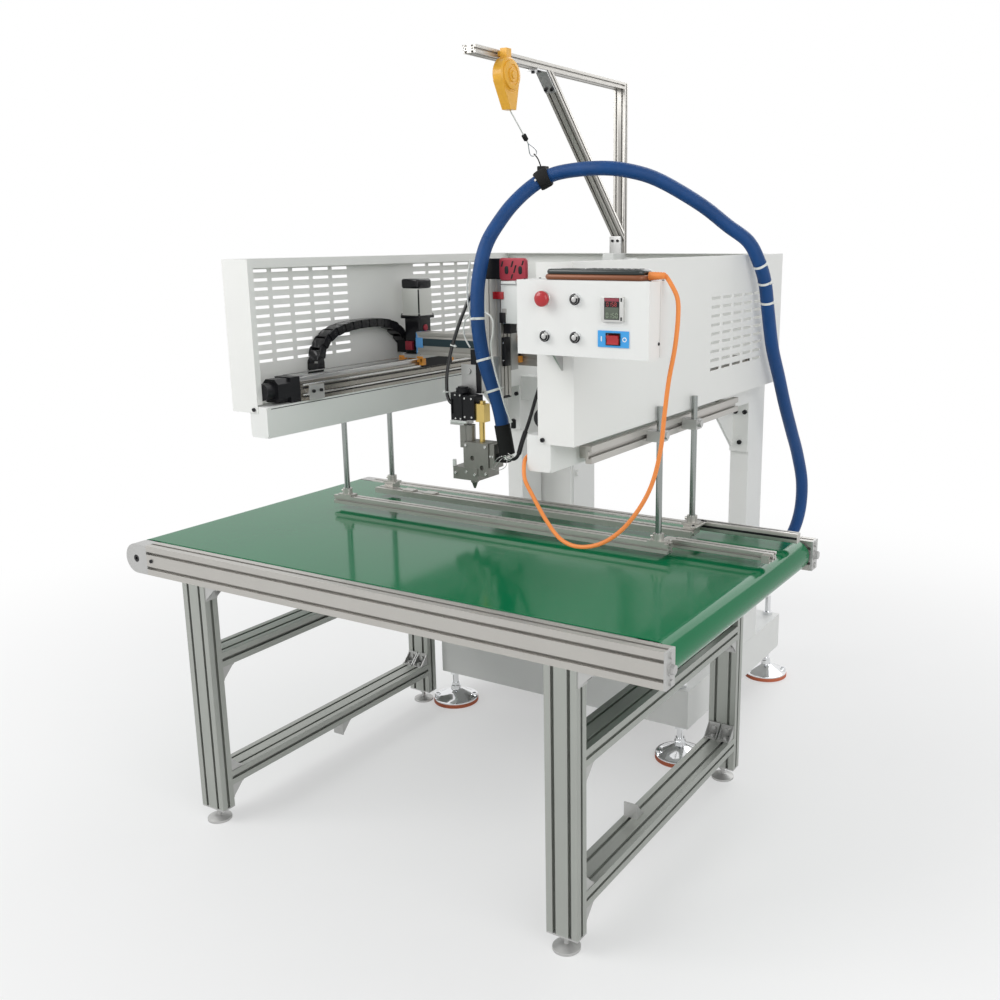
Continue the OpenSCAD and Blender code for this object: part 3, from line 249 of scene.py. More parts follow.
print("a plain slab has", len(slab((0, 0, 0), (10, 10, 10)).counts), "faces")

# %% [markdown]
# ## From skins to a piece
# A piece is one mesh, on one body or on none. The skins are laid end to end in the mesh's arrays, with the
# flat pattern as a UV map, and the faces are smooth up to an angle at which an edge stays crisp.

# %% Pieces
CRISP = math.radians(35)


def make(name, body, finishes, skins):
    """One object from a list of skins: corner numbers are moved on by the points before them. The
    object is attached to its body, if it is given one."""
    starts = np.cumsum([0] + [len(s.points) for s in skins[:-1]])
    loops = np.concatenate([s.loops + k for s, k in zip(skins, starts)])
    counts = np.concatenate([s.counts for s in skins])
    paint = np.concatenate([np.full(len(s.counts), s.paint) for s in skins])
    mesh = bpy.data.meshes.new(name)
    mesh.vertices.add(sum(len(s.points) for s in skins))
    mesh.vertices.foreach_set("co", np.concatenate([s.points for s in skins]).ravel())
    mesh.loops.add(len(loops))
    mesh.loops.foreach_set("vertex_index", loops.astype(np.int32))
    mesh.polygons.add(len(counts))
    mesh.polygons.foreach_set("loop_start", np.concatenate([[0], np.cumsum(counts)[:-1]]).astype(np.int32))
    for material in finishes:
        mesh.materials.append(material)
    mesh.update(calc_edges=True)
    mesh.validate()
    mesh.polygons.foreach_set("material_index", paint.astype(np.int32))
    pattern = mesh.uv_layers.new(name="pattern")
    pattern.data.foreach_set("uv", np.concatenate([s.uv for s in skins]).ravel())
    mesh.shade_smooth()
    mesh.set_sharp_from_angle(angle=CRISP)
    piece = bpy.data.objects.new(name, mesh)
    bpy.context.scene.collection.objects.link(piece)
    if body:
        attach(piece, body)
    return piece


print("edges stay crisp above", round(math.degrees(CRISP)), "degrees")

# %% [markdown]
# ## Finishes
# Few real surfaces are one flat colour. Each finish here mixes two close shades by a broad noise,
# varies its roughness by the same noise, and raises a fine noise as a bump. All of it reads Object
# coordinates, so nothing slides when a part moves. Image textures would show more, but they would
# have to be painted, carried along and unwrapped.

# %% A finish from two noises


def node(tree, kind, values=(), **options):
    """A new shader node: its options are set first, and then the values of its sockets by name."""
    new = tree.nodes.new("ShaderNode" + kind)
    for option, value in options.items():
        setattr(new, option, value)
    for socket, value in dict(values).items():
        new.inputs[socket].default_value = value
    return new


def wire(tree, source, target):
    """Joins an output socket to an input socket."""
    tree.links.new(source, target)


def finish(name, colour, rough=0.5, metal=0.0, grain=700.0, bump=0.04, mottle=0.04, patch=9.0,
           stretch=(1.0, 1.0, 1.0), coat=0.0, specular=0.5):
    """Colour = two shades mottle apart, mixed by a noise with patch per metre; roughness = rough
    plus or minus 15% by the same noise; bump = a noise with grain per metre."""
    material = bpy.data.materials.new(name)
    material.use_nodes = True
    tree = material.node_tree
    shader = tree.nodes["Principled BSDF"]
    shader.inputs["Metallic"].default_value = metal
    shader.inputs["Coat Weight"].default_value = coat
    shader.inputs["Coat Roughness"].default_value = 0.08
    shader.inputs["Specular IOR Level"].default_value = specular
    place = node(tree, "TexCoord")
    mapping = node(tree, "Mapping", {"Scale": stretch})
    wire(tree, place.outputs["Object"], mapping.inputs["Vector"])
    broad = node(tree, "TexNoise", {"Scale": patch, "Detail": 5.0})
    fine = node(tree, "TexNoise", {"Scale": grain, "Detail": 2.0})
    for noise in (broad, fine):
        wire(tree, mapping.outputs["Vector"], noise.inputs["Vector"])
    darker = [max(0.0, c * (1 - mottle)) for c in colour]
    lighter = [min(1.0, c * (1 + mottle)) for c in colour]
    mix = node(tree, "Mix", {"A": (*darker, 1), "B": (*lighter, 1)}, data_type="RGBA")
    wire(tree, broad.outputs["Fac"], mix.inputs["Factor"])
    wire(tree, mix.outputs["Result"], shader.inputs["Base Color"])
    gloss = node(tree, "MapRange", {"To Min": max(0.02, rough * 0.85), "To Max": min(1.0, rough * 1.15)})
    wire(tree, broad.outputs["Fac"], gloss.inputs["Value"])
    wire(tree, gloss.outputs["Result"], shader.inputs["Roughness"])
    relief = node(tree, "Bump", {"Strength": bump, "Distance": 0.001})
    wire(tree, fine.outputs["Fac"], relief.inputs["Height"])
    wire(tree, relief.outputs["Normal"], shader.inputs["Normal"])
    return material


anodised = finish("anodised", (0.49, 0.475, 0.445), 0.38, 0.72, grain=1400, bump=0.03, mottle=0.05)
leg_profile = finish("leg_profile", (0.39, 0.405, 0.375), 0.42, 0.65, grain=1400, bump=0.03, mottle=0.06)
module_alloy = finish("module_alloy", (0.36, 0.34, 0.305), 0.26, 0.9, grain=1400, bump=0.03, mottle=0.06)
brushed = finish("brushed_steel", (0.58, 0.58, 0.58), 0.30, 0.95, grain=500, bump=0.05, stretch=(1, 1, 12))
cast = finish("cast_aluminium", (0.50, 0.50, 0.49), 0.48, 0.8, grain=450, bump=0.12, mottle=0.08)
powder = finish("powder_coat", (0.78, 0.785, 0.76), 0.42, grain=420, bump=0.05, mottle=0.015)
sheet_white = finish("sheet_white", (0.80, 0.80, 0.77), 0.45, grain=500, bump=0.04, mottle=0.015)
chrome = finish("chrome", (0.78, 0.79, 0.80), 0.09, 1.0, grain=60, bump=0.01, mottle=0.02)
machined = finish("machined_body", (0.25, 0.245, 0.225), 0.36, 0.65, grain=300, bump=0.08, mottle=0.15,
                  patch=30)
black_plastic = finish("black_plastic", (0.012, 0.012, 0.014), 0.38, grain=800, bump=0.06, mottle=0.2,
                       specular=0.22)
black_gloss = finish("black_gloss", (0.008, 0.008, 0.010), 0.20, grain=300, bump=0.02, mottle=0.2,
                     coat=0.12, specular=0.3)
black_screw = finish("black_oxide", (0.022, 0.022, 0.024), 0.34, 0.5, grain=900, bump=0.04, mottle=0.2)
bright_screw = finish("bright_screw", (0.66, 0.66, 0.65), 0.25, 0.95, grain=900, bump=0.03)
rubber_red = finish("rubber_red", (0.58, 0.15, 0.07), 0.62, grain=300, bump=0.10, mottle=0.10)
rubber_black = finish("rubber_black", (0.012, 0.012, 0.012), 0.7, grain=300, bump=0.12, mottle=0.15,
                      specular=0.2)
cable_jacket = finish("cable_jacket", (0.010, 0.010, 0.011), 0.16, grain=300, bump=0.01, mottle=0.2,
                      coat=0.5)
belt_green = finish("belt_green", (0.003, 0.162, 0.060), 0.10, grain=700, bump=0.012, mottle=0.10, patch=3,
                    specular=0.15)
yellow_enamel = finish("yellow_enamel", (0.82, 0.42, 0.032), 0.34, grain=260, bump=0.10, mottle=0.08,
                       patch=25)
orange_cap = finish("orange_cap", (0.85, 0.33, 0.04), 0.40, grain=500, bump=0.05)
orange_rubber = finish("orange_rubber", (0.80, 0.25, 0.05), 0.45, grain=400, bump=0.05, mottle=0.07)
red_plastic = finish("red_plastic", (0.42, 0.010, 0.016), 0.28, grain=300, bump=0.03, coat=0.2)
dark_red = finish("red_anodised", (0.33, 0.022, 0.040), 0.42, 0.2, grain=900, bump=0.04, mottle=0.10)
copper_brown = finish("copper_brown", (0.22, 0.075, 0.030), 0.40, 0.2, grain=600, bump=0.05, mottle=0.12)
top_green = finish("pendant_top", (0.014, 0.022, 0.020), 0.18, grain=600, bump=0.05, mottle=0.2)
plate_blue = finish("plate_blue", (0.045, 0.34, 0.74), 0.42, grain=600, bump=0.03)
cap_blue = finish("cap_blue", (0.12, 0.38, 0.78), 0.42, grain=600, bump=0.04)
teal = finish("teal_strip", (0.012, 0.035, 0.045), 0.35, grain=600, bump=0.04, mottle=0.15)
brass = finish("brass", (0.68, 0.50, 0.17), 0.30, 0.9, grain=500, bump=0.05, mottle=0.12, patch=40)
silver_frame = finish("silver_frame", (0.60, 0.60, 0.58), 0.35, 0.6, grain=800, bump=0.03)
display_red = finish("display_red", (0.26, 0.030, 0.050), 0.18, grain=800, bump=0.01, coat=0.3)
display_green = finish("display_green", (0.085, 0.105, 0.075), 0.18, grain=800, bump=0.01, coat=0.3)
# White for printed marks, and also for two painted reflections on the pendant's lid.
white_print_and_reflection = finish("white_print_and_reflection", (0.82, 0.82, 0.80), 0.5, grain=600, bump=0.03)
white_nylon = finish("white_nylon", (0.82, 0.83, 0.80), 0.45, grain=500, bump=0.04)
clear_tube = finish("clear_tube", (0.68, 0.69, 0.66), 0.25, grain=300, bump=0.02, coat=0.2)
foil = finish("foil", (0.80, 0.80, 0.78), 0.20, 0.9, grain=260, bump=0.5, mottle=0.2, patch=60)
grey_paint = finish("grey_paint", (0.42, 0.42, 0.40), 0.45, grain=500, bump=0.04)
ground_rod = finish("ground_rod", (0.30, 0.32, 0.31), 0.18, 1.0, grain=60, bump=0.01, mottle=0.05)
print("finishes:", len(bpy.data.materials))

# %% [markdown]
# ## A woven sleeve
# The heated hose wears a fabric sleeve with a satin sheen. The weave follows the hose, so it reads
# the flat pattern of the tube: two sets of waves cross each other, and their product is the bump.
# A broad noise, stretched along the hose, adds the soft creases of a sleeve pulled over a bend.

# %% Sleeve
WAVE_LENGTH = 0.314
CREASES = 2.2


def sleeve(name, colour, thread):
    """Bump = wave(u + v) x wave(u - v) + creases, with u and v in metres. A Wave Texture of scale 1
    repeats every 0.314 m, so a scale of 0.314 / thread gives one wave per thread."""
    material = finish(name, colour, 0.40, grain=300, bump=0.0, mottle=0.25, patch=14, specular=0.28)
    tree = material.node_tree
    pattern = node(tree, "UVMap", uv_map="pattern")
    product = node(tree, "Math", operation="MULTIPLY")
    for socket, angle in zip(product.inputs, (45, -45)):
        mapping = node(tree, "Mapping", {"Rotation": (0, 0, math.radians(angle))})
        wave = node(tree, "TexWave", {"Scale": WAVE_LENGTH / thread})
        wire(tree, pattern.outputs["UV"], mapping.inputs["Vector"])
        wire(tree, mapping.outputs["Vector"], wave.inputs["Vector"])
        wire(tree, wave.outputs["Fac"], socket)
    crease = node(tree, "TexNoise", {"Scale": 45.0, "Detail": 3.0})
    wire(tree, pattern.outputs["UV"], crease.inputs["Vector"])
    total = node(tree, "Math", {1: CREASES}, operation="MULTIPLY_ADD")
    wire(tree, crease.outputs["Fac"], total.inputs[0])
    wire(tree, product.outputs["Value"], total.inputs[2])
    relief = node(tree, "Bump", {"Strength": 0.35, "Distance": 0.0012})
    wire(tree, total.outputs["Value"], relief.inputs["Height"])
    wire(tree, relief.outputs["Normal"], tree.nodes["Principled BSDF"].inputs["Normal"])
    return material


hose_sleeve = sleeve("hose_sleeve", (0.005, 0.058, 0.205), 0.0022)
cable_sleeve = sleeve("cable_sleeve", (0.014, 0.014, 0.015), 0.0011)
print("sleeves:", hose_sleeve.name, cable_sleeve.name)

# %% [markdown]
# ## The heated hose
# Glue stays hot on its way to the head, so the hose is thick and stiff: 38 mm across. It leaves the
# head upwards, is held under the balancer, swings over to the right, runs down behind the stand and
# into the cabinet there. It crosses three moving parts, so it is four pieces that meet end to end.
# One of them stays with the stand, and the other three belong to no body.

# %% Route of the hose
HOSE_R = 19.0
HOSE_ROUTE = [
    (700, 660, 950), (682, 656, 1061), (663, 652, 1128), (646, 648, 1180), (633, 646, 1228),
    (624, 644, 1303), (621, 650, 1389), (626, 664, 1466), (631, 690, 1522), (644, 730, 1574),
    (661, 770, 1619), (688, 815, 1662), (730, 842, 1692), (788, 850, 1705), (890, 850, 1709),
    (960, 884, 1701), (1021, 942, 1677), (1102, 1030, 1616), (1158, 1090, 1560), (1210, 1118, 1516),
    (1234, 1145, 1458), (1240, 1180, 1400), (1241, 1210, 1319), (1241, 1255, 1215), (1242, 1320, 1120),
    (1243, 1380, 1030), (1245, 1450, 935), (1246, 1515, 850), (1250, 1560, 750), (1240, 1585, 650),
    (1214, 1601, 566), (1172, 1612, 492), (1118, 1620, 430), (1058, 1626, 378), (985, 1630, 328),
    (905, 1631, 288), (820, 1631, 260), (730, 1629, 248), (640, 1622, 248), (550, 1610, 248),
    (490, 1600, 252), (441, 1600, 252)]
PER = 12
hose_line = spline(at(HOSE_ROUTE), PER)
print("hose:", round(length_of(hose_line), 3), "m in all")


def tie(path, place, radius, width=6.5, turn=0.0, tail=11.0):
    """A nylon tie: a flat band round the path at a point of it, a square head and a cut tail."""
    k = int(round(place))
    ahead = unit(path[k + 1] - path[k - 1])
    n, b = (v[0] for v in round_frame(ahead))
    out = math.cos(turn) * n + math.sin(turn) * b
    side = np.cross(ahead, out)
    r, w = radius * MM, width * MM / 2
    across = np.array([-w, -w, w, w])
    centres = path[k] + across[:, None] * ahead
    band = surface(rings(centres, [r - 0.0004, r + 0.0016, r + 0.0016, r - 0.0004],
                         np.repeat([n], 4, 0), np.repeat([b], 4, 0), 28))
    head = slab((-3.4, -3.2, -0.5), (3.4, 3.2, 4.2), 1.0, 0.6)
    strip = slab((-0.6, -1.9, 2.0), (0.6, 1.9, 2.0 + tail), 0.5, 0.3)
    frame_here = np.column_stack([ahead, side, out])
    seat = path[k] + (r + 0.0008) * out
    return [band] + [placed(s, frame_here, seat) for s in (head, strip)]


# %% Four runs of the hose
RUN_GAP = 0.3
HOSE_CUTS = {"hose_z": (0, 4), "hose_x": (4, 8), "hose_y": (8, 17), "hose_run": (17, 41)}
HOSE_TIES = {"hose_z": [(1.95, 5.6), (3.6, 4.4)], "hose_x": [(5.15, 3.2)], "hose_y": [],
             "hose_run": [(20.1, 0.2), (20.9, 0.4), (21.7, 0.2)]}
HOSE_BLENDS = {"hose_z": ("z_head", "x_carriage", (690, 655, 1035), (633, 646, 1228)),
               "hose_x": ("x_carriage", "y_gantry", (633, 646, 1240), (631, 690, 1510)),
               "hose_y": ("y_gantry", "root", (631, 690, 1522), (751, 750, 1742))}


def bend(piece, first_body, second_body, start, end):
    """Bakes the piece's place into its mesh and leaves it where it stands. first_body, second_body, start and
    end are not used.
    """
    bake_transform(piece)


hoses, hose_ties = {}, {}
for name, (first, last) in HOSE_CUTS.items():
    run = hose_line[first * PER:last * PER + 1].copy()
    if first:
        run[0] += RUN_GAP * MM * unit(run[1] - run[0])
    body = "root" if name == "hose_run" else None
    piece = make(name + "_sleeved", body, [hose_sleeve], [tube(run, HOSE_R * MM, 32)])
    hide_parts(name)
    hoses[name] = (piece, run)
    bands = [s for place, turn in HOSE_TIES[name] for s in tie(run, (place - first) * PER, HOSE_R, turn=turn)]
    hose_ties[name] = [make(name + "_ties", body, [white_nylon], bands)] if bands else []
    for bent in [piece] + hose_ties[name]:
        if name in HOSE_BLENDS:
            bend(bent, *HOSE_BLENDS[name])
print("runs of the hose:", list(hoses))

# %% Air tube beside the hose
AIR_LEFT = [
    (606, 640, 1470), (597, 638, 1420), (595, 638, 1393), (597, 638, 1355), (600, 640, 1328),
    (585, 640, 1312), (578, 640, 1290), (583, 640, 1262), (600, 638, 1238)]
AIR_RIGHT = [
    (652, 640, 1335), (668, 640, 1325), (676, 640, 1308), (675, 640, 1280), (668, 640, 1250),
    (672, 640, 1210), (683, 640, 1165), (697, 640, 1125), (706, 640, 1095), (716, 642, 1065),
    (727, 646, 1040)]
AIR_R = 2.4
AIR_TUBES = (("air_tube_left", AIR_LEFT, "hose_x"), ("air_tube_right", AIR_RIGHT, "hose_z"))
for name, air_route, along in AIR_TUBES:
    air = make(name, None, [clear_tube], [tube(spline(at(air_route), 6), AIR_R * MM, 10)])
    bend(air, *HOSE_BLENDS[along])
    hose_ties[along].append(air)

for name, (piece, run) in hoses.items():
    print(name, round(length_of(run), 3), "m")

# %% [markdown]
# ## Thin cables
# Two cables run down to the gluing head, one to the valve and one to the heater, and an orange one
# links the hand pendant to the arm below its box. The orange one is the only cable that hangs free:
# it falls from its boot in a long loop and climbs to the arm. Each is a tube round a curve whose
# points are listed; a curve object would do too.

# %% Cables
ORANGE_ROUTE = [
    (1427, 135, 1457), (1441, 132, 1440), (1456, 128, 1414), (1459, 125, 1377), (1455, 122, 1322),
    (1444, 120, 1257), (1436, 120, 1190), (1430, 118, 1122), (1414, 118, 1056), (1388, 118, 1002),
    (1346, 120, 948), (1296, 122, 910), (1240, 126, 893), (1190, 134, 900), (1148, 142, 935),
    (1108, 150, 985), (1085, 156, 1018), (1072, 176, 1050), (1070, 196, 1062)]
VALVE_ROUTE = [(606, 716, 1452), (566, 684, 1364), (530, 660, 1255), (510, 652, 1170),
               (505.5, 652, 1112), (508, 654, 1090), (515, 655, 1079), (527.4, 655, 1078)]
HEATER_ROUTE = [
    (722, 752, 1336), (738, 758, 1318), (750, 768, 1262), (752, 772, 1205), (750, 764, 1150),
    (756, 716, 1086), (755, 690, 1040), (742, 674, 985), (734, 667, 950), (724, 662, 936),
    (706.8, 660, 934)]
orange_line, valve_line, heater_line = (spline(at(r), PER) for r in (ORANGE_ROUTE, VALVE_ROUTE, HEATER_ROUTE))
ORANGE_R, CABLE_R, SLEEVE_R = 4.5, 5.0, 6.8

BOOT_AT, BOOT_LEN, BOOT_AXIS = (1396, 130, 1456), 33, (1, 0, 0.035)
boot_ridges = [(7.9 - 0.06 * h + (0.7 if h % 6 < 3 else 0.0), h) for h in range(0, BOOT_LEN, 3)]
boot_profile = [(7.0, 0)] + boot_ridges + [(5.4, BOOT_LEN)]
orange_cable = make("pendant_cable_orange", "root", [orange_rubber],
                    [tube(orange_line, ORANGE_R * MM, 18)])
orange_boot = make("pendant_cable_boot", "root", [orange_rubber],
                   [turned(boot_profile, BOOT_AT, BOOT_AXIS, 24)])
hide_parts("pendant_cable")
CABLE_TIES = ((2.2, 1.4), (4.1, 1.9))
cable_bands = [s for place, turn in CABLE_TIES
               for s in tie(valve_line, place * PER, CABLE_R, width=3.6, turn=turn, tail=6.0)]
cable_ties = make("valve_cable_ties", None, [white_nylon], cable_bands)
valve_cable = make("valve_cable", None, [cable_jacket], [tube(valve_line, CABLE_R * MM, 16)])
heater_cable = make("heater_cable", None, [cable_sleeve],
                    [tube(heater_line, CABLE_R * MM, 16)])
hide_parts("gun_cables")
SLEEVE_BETWEEN = (6.5, 8.0)
first, last = (round(v * PER) for v in SLEEVE_BETWEEN)
heater_sleeve = make("heater_sleeve", None, [black_gloss],
                     [tube(heater_line[first:last + 1], SLEEVE_R * MM, 16)])
for piece in (valve_cable, cable_ties):
    bend(piece, "x_carriage", "z_head", (590, 700, 1440), (530, 660, 1130))
for piece in (heater_cable, heater_sleeve):
    bend(piece, "x_carriage", "z_head", (745, 765, 1155), (750, 680, 1030))
print("orange cable", round(length_of(orange_line), 3), "m, valve", round(length_of(valve_line), 3),
      "m, heater", round(length_of(heater_line), 3), "m")

# %% [markdown]
# ## Floor and light
# A pale floor takes the shadow, three soft lamps stand round the machine, and the world and the
# far floor are white only where the camera or a reflection looks at them, so metal has something
# bright to show without the whole machine growing brighter.

# %% Studio
FLOOR_HALF, FLOOR_Z = 14.0, -0.0005
floor_corners = [(x * FLOOR_HALF, y * FLOOR_HALF, FLOOR_Z) for x, y in ((-1, -1), (1, -1), (1, 1), (-1, 1))]
floor_mesh = bpy.data.meshes.new("floor")
floor_mesh.from_pydata(floor_corners, [], [(0, 1, 2, 3)])
floor = bpy.data.objects.new("floor", floor_mesh)
bpy.context.scene.collection.objects.link(floor)
floor_paint = finish("floor_paint", (0.80, 0.80, 0.79), 0.6, grain=40, bump=0.01, mottle=0.01)
floor_mesh.materials.append(floor_paint)


def seen_or_mirrored(tree):
    """1 for a ray from the camera, a reflection or a view through glass, and 0 for any other."""
    rays = node(tree, "LightPath")
    seen = rays.outputs["Is Camera Ray"]
    for kind in ("Is Glossy Ray", "Is Transmission Ray"):
        more = node(tree, "Math", operation="MAXIMUM")
        wire(tree, seen, more.inputs[0])
        wire(tree, rays.outputs[kind], more.inputs[1])
        seen = more.outputs["Value"]
    return seen


def fade_to_white(material, near, far, least):
    """White light of strength 1 is mixed over the paint: least of it at near metres from the
    middle of the floor, all of it at far metres, and none for rays that would light the machine."""
    tree = material.node_tree
    place = node(tree, "TexCoord")
    away = node(tree, "VectorMath", operation="LENGTH")
    wire(tree, place.outputs["Object"], away.inputs[0])
    share = node(tree, "MapRange", {"From Min": near, "From Max": far, "To Min": least, "To Max": 1.0},
                 interpolation_type="SMOOTHSTEP")
    wire(tree, away.outputs["Value"], share.inputs["Value"])
    only_seen = node(tree, "Math", operation="MULTIPLY")
    wire(tree, share.outputs["Result"], only_seen.inputs[0])
    wire(tree, seen_or_mirrored(tree), only_seen.inputs[1])
    white = node(tree, "Emission", {"Strength": 1.0})
    both = node(tree, "MixShader")
    wire(tree, only_seen.outputs["Value"], both.inputs["Fac"])
    wire(tree, tree.nodes["Principled BSDF"].outputs["BSDF"], both.inputs[1])
    wire(tree, white.outputs["Emission"], both.inputs[2])
    wire(tree, both.outputs["Shader"], tree.nodes["Material Output"].inputs["Surface"])


WHITE_FROM, WHITE_AT, LEAST_WHITE = 1.0, 3.2, 0.45
fade_to_white(floor_paint, WHITE_FROM, WHITE_AT, LEAST_WHITE)


def soft_lamp(name, place, target, size, power):
    """A square lamp at place, turned so that its -Z looks at target."""
    lamp = bpy.data.lights.new(name, "AREA")
    lamp.shape = "SQUARE"
    lamp.size = size
    lamp.energy = power
    holder = bpy.data.objects.new(name, lamp)
    ahead = unit(np.subtract(target, place))
    right = unit(np.cross(ahead, (0, 0, 1)))
    holder.matrix_world = stand(right, np.cross(right, ahead), ahead, place)
    bpy.context.scene.collection.objects.link(holder)


LAMPS = {"key": ((-2.4, -3.2, 3.6), (0, 0, 0.9), 2.6, 106),
         "fill": ((3.6, -2.2, 2.4), (0, 0, 0.9), 3.0, 60),
         "back": ((0.5, 3.4, 3.6), (0, 0, 1.0), 3.0, 60)}
for name, (place, target, size, power) in LAMPS.items():
    soft_lamp(name, place, target, size, power)

world = bpy.data.worlds.new("studio")
bpy.context.scene.world = world
world.use_nodes = True
sky = world.node_tree
SKY_COLOUR, SKY_LEVEL = (0.92, 0.94, 0.97, 1), 0.52
dim = sky.nodes["Background"]
dim.inputs["Color"].default_value = SKY_COLOUR
dim.inputs["Strength"].default_value = SKY_LEVEL
bright = node(sky, "Background", {"Color": (1, 1, 1, 1), "Strength": 1.0})
either = node(sky, "MixShader")
wire(sky, seen_or_mirrored(sky), either.inputs["Fac"])
wire(sky, dim.outputs["Background"], either.inputs[1])
wire(sky, bright.outputs["Background"], either.inputs[2])
wire(sky, either.outputs["Shader"], sky.nodes["World Output"].inputs["Surface"])
bpy.context.scene.view_settings.view_transform = "Standard"
print("lamps:", len(bpy.data.lights))

# %% [markdown]
# ## Dressing the imported nodes
# A imported node keeps its shape: only its edges are broken and its faces get a finish. Weld joins
# its loose triangles, Bevel breaks the edges that are sharper than 40 degrees, and Weighted Normal
# keeps the flats flat. Where one node holds two materials, a box round the second one claims the
# faces whose middle lies in it.

# %% Broken edges and claimed faces
BREAK, WELD, SLACK = math.radians(40), 1e-5, 1e-5


def soften(piece, edge):
    """Weld, a bevel of edge millimetres on sharp edges, and normals that keep the flats flat."""
    piece.modifiers.new("weld", "WELD").merge_threshold = WELD
    bevel = piece.modifiers.new("broken_edges", "BEVEL")
    bevel.width = edge * MM
    bevel.segments = 2
    bevel.limit_method = "ANGLE"
    bevel.angle_limit = BREAK
    piece.modifiers.new("flat_faces", "WEIGHTED_NORMAL").keep_sharp = True
    piece.data.shade_smooth()


def dress(name, base, edge, *claims):
    """Each face gets the finish of the last claim, (low corner, high corner, finish) in
    millimetres, whose box holds the middle of the face, or else the base finish."""
    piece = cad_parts[name]
    mesh = piece.data
    mesh.materials.clear()
    mesh.materials.append(base)
    middles = np.empty(len(mesh.polygons) * 3, np.float32)
    mesh.polygons.foreach_get("center", middles)
    middles = middles.reshape(-1, 3)
    chosen = np.zeros(len(middles), np.int32)
    for k, (low, high, material) in enumerate(claims, 1):
        mesh.materials.append(material)
        inside = ((middles > at(low) - SLACK) & (middles < at(high) + SLACK)).all(axis=1)
        chosen[inside] = k
    mesh.polygons.foreach_set("material_index", chosen)
    if edge:
        soften(piece, edge)


print("edges break above", round(math.degrees(BREAK)), "degrees")

# %% Nodes with one finish
PLAIN = [(anodised, 0.4, ("side_rails", "carrier_rails", "front_guide", "rear_guide")),
         (leg_profile, 0.4, ("legs", "cross_members")),
         (cast, 0.5, ("corner_brackets",)),
         (cast, 0.6, ("table_feet", "front_clamps", "rear_clamps")),
         (cast, 0.8, ("rail_ends",)),
         (belt_green, 0.3, ("belt",)),
         (brushed, 0, ("slider_bed",)),
         (brushed, 0.3, ("drive_roller", "tail_roller")),
         (black_plastic, 0, ("return_cover",)),
         (black_plastic, 0.6, ("gun_valve",)),
         (powder, 1.2, ("base_frame", "columns", "arm_beams")),
         (powder, 1.0, ("cabinet",)),
         (sheet_white, 0, ("left_cover", "right_cover", "rear_cover")),
         (chrome, 0.5, ("machine_feet",)),
         (rubber_red, 1.0, ("foot_pads",)),
         (black_screw, 0.3, ("cap_screws",)),
         (yellow_enamel, 0.8, ("balancer",)),
         (plate_blue, 0.3, ("switch_plate",)),
         (silver_frame, 0.6, ("button_a", "button_b", "button_c")),
         (red_plastic, 0.4, ("rocker",)),
         (ground_rod, 0.5, ("front_rods", "rear_rods")),
         (brass, 0.6, ("gun_fittings",)),
         (rubber_black, 0.6, ("hose_boot",))]
for base, edge, names in PLAIN:
    for name in names:
        dress(name, base, edge)
print("one finish:", sum(len(names) for base, edge, names in PLAIN), "nodes")

# %% Nodes with two finishes or more
AXES_X = ((230, 300), (1075, 1145))
AXIS_ENDS_Y = ((180, 298.9), (1330.1, 1360))
STOPS_X, STOPS_Y = (300.02, 1066.9), (350, 1250)
axis_parts = [((x0, y0, 1113), (x1, y1, 1185), black_plastic)
              for y0, y1 in AXIS_ENDS_Y for x0, x1 in AXES_X]
axis_parts += [((x0, 302, 1165.1), (x1, 1328, 1174), brushed) for x0, x1 in AXES_X]
axis_parts += [((x, y - 29, 1112), (x + 8.1, y + 29, 1153.1), cast) for x in STOPS_X for y in STOPS_Y]
dress("y_modules", module_alloy, 0.4, *axis_parts)

saddles = [((x, 794, 1178.05), (x + 88, 956, 1188.01), cast) for x in (221, 1066)]
scrapers = [((x, y, 1174.05), (x + 86, y + 8.05, 1177.95), orange_cap)
            for x in (222, 1067) for y in (795, 947)]
scrapers += [((x, y, 1157), (x + 12, y + 8.05, 1177.9), orange_cap)
             for x in (223, 296, 1068, 1141) for y in (794.9, 946.9)]
dress("y_carriages", black_plastic, 0.4, *saddles, *scrapers)

beam_ends = [((x, 799, 1187), (x + 6, 861, 1257), cap_blue) for x in (283.9, 1085.1)]
dress("x_beam", anodised, 0.4, *beam_ends, ((289, 797.9, 1214), (1086, 799.9, 1240), teal))
slide_caps = [((646.9, 780, z), (668, 800, z + 26), orange_cap) for z in (1180, 1244)]
dress("x_slide", black_plastic, 0.5, ((571, 748, 1160), (663, 781.9, 1280), cast), *slide_caps)
dress("z_module", anodised, 0.4, ((663.9, 700, 1301), (723, 764, 1415), brushed),
      ((660.05, 712, 1270), (684, 748, 1300.9), black_plastic),
      ((611, 699, 1092), (661, 749, 1100.9), black_plastic))
dress("z_slide", cast, 0.5, ((565, 685, 1104), (599.9, 700.1, 1228), black_plastic))
dress("gun_body", machined, 0.7, ((525, 630, 1019.9), (573, 690, 1032.1), cast))
dress("overhead_frame", anodised, 0.3, ((600, 880, 1915), (700, 985, 1980.9), brushed))
dress("control_box", powder, 0.8, ((1100, 76, 1300), (1300, 81.9, 1450), chrome),
      ((1110, 100, 1255), (1300, 174, 1298.9), brushed))
print("dressed", len(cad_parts), "nodes")
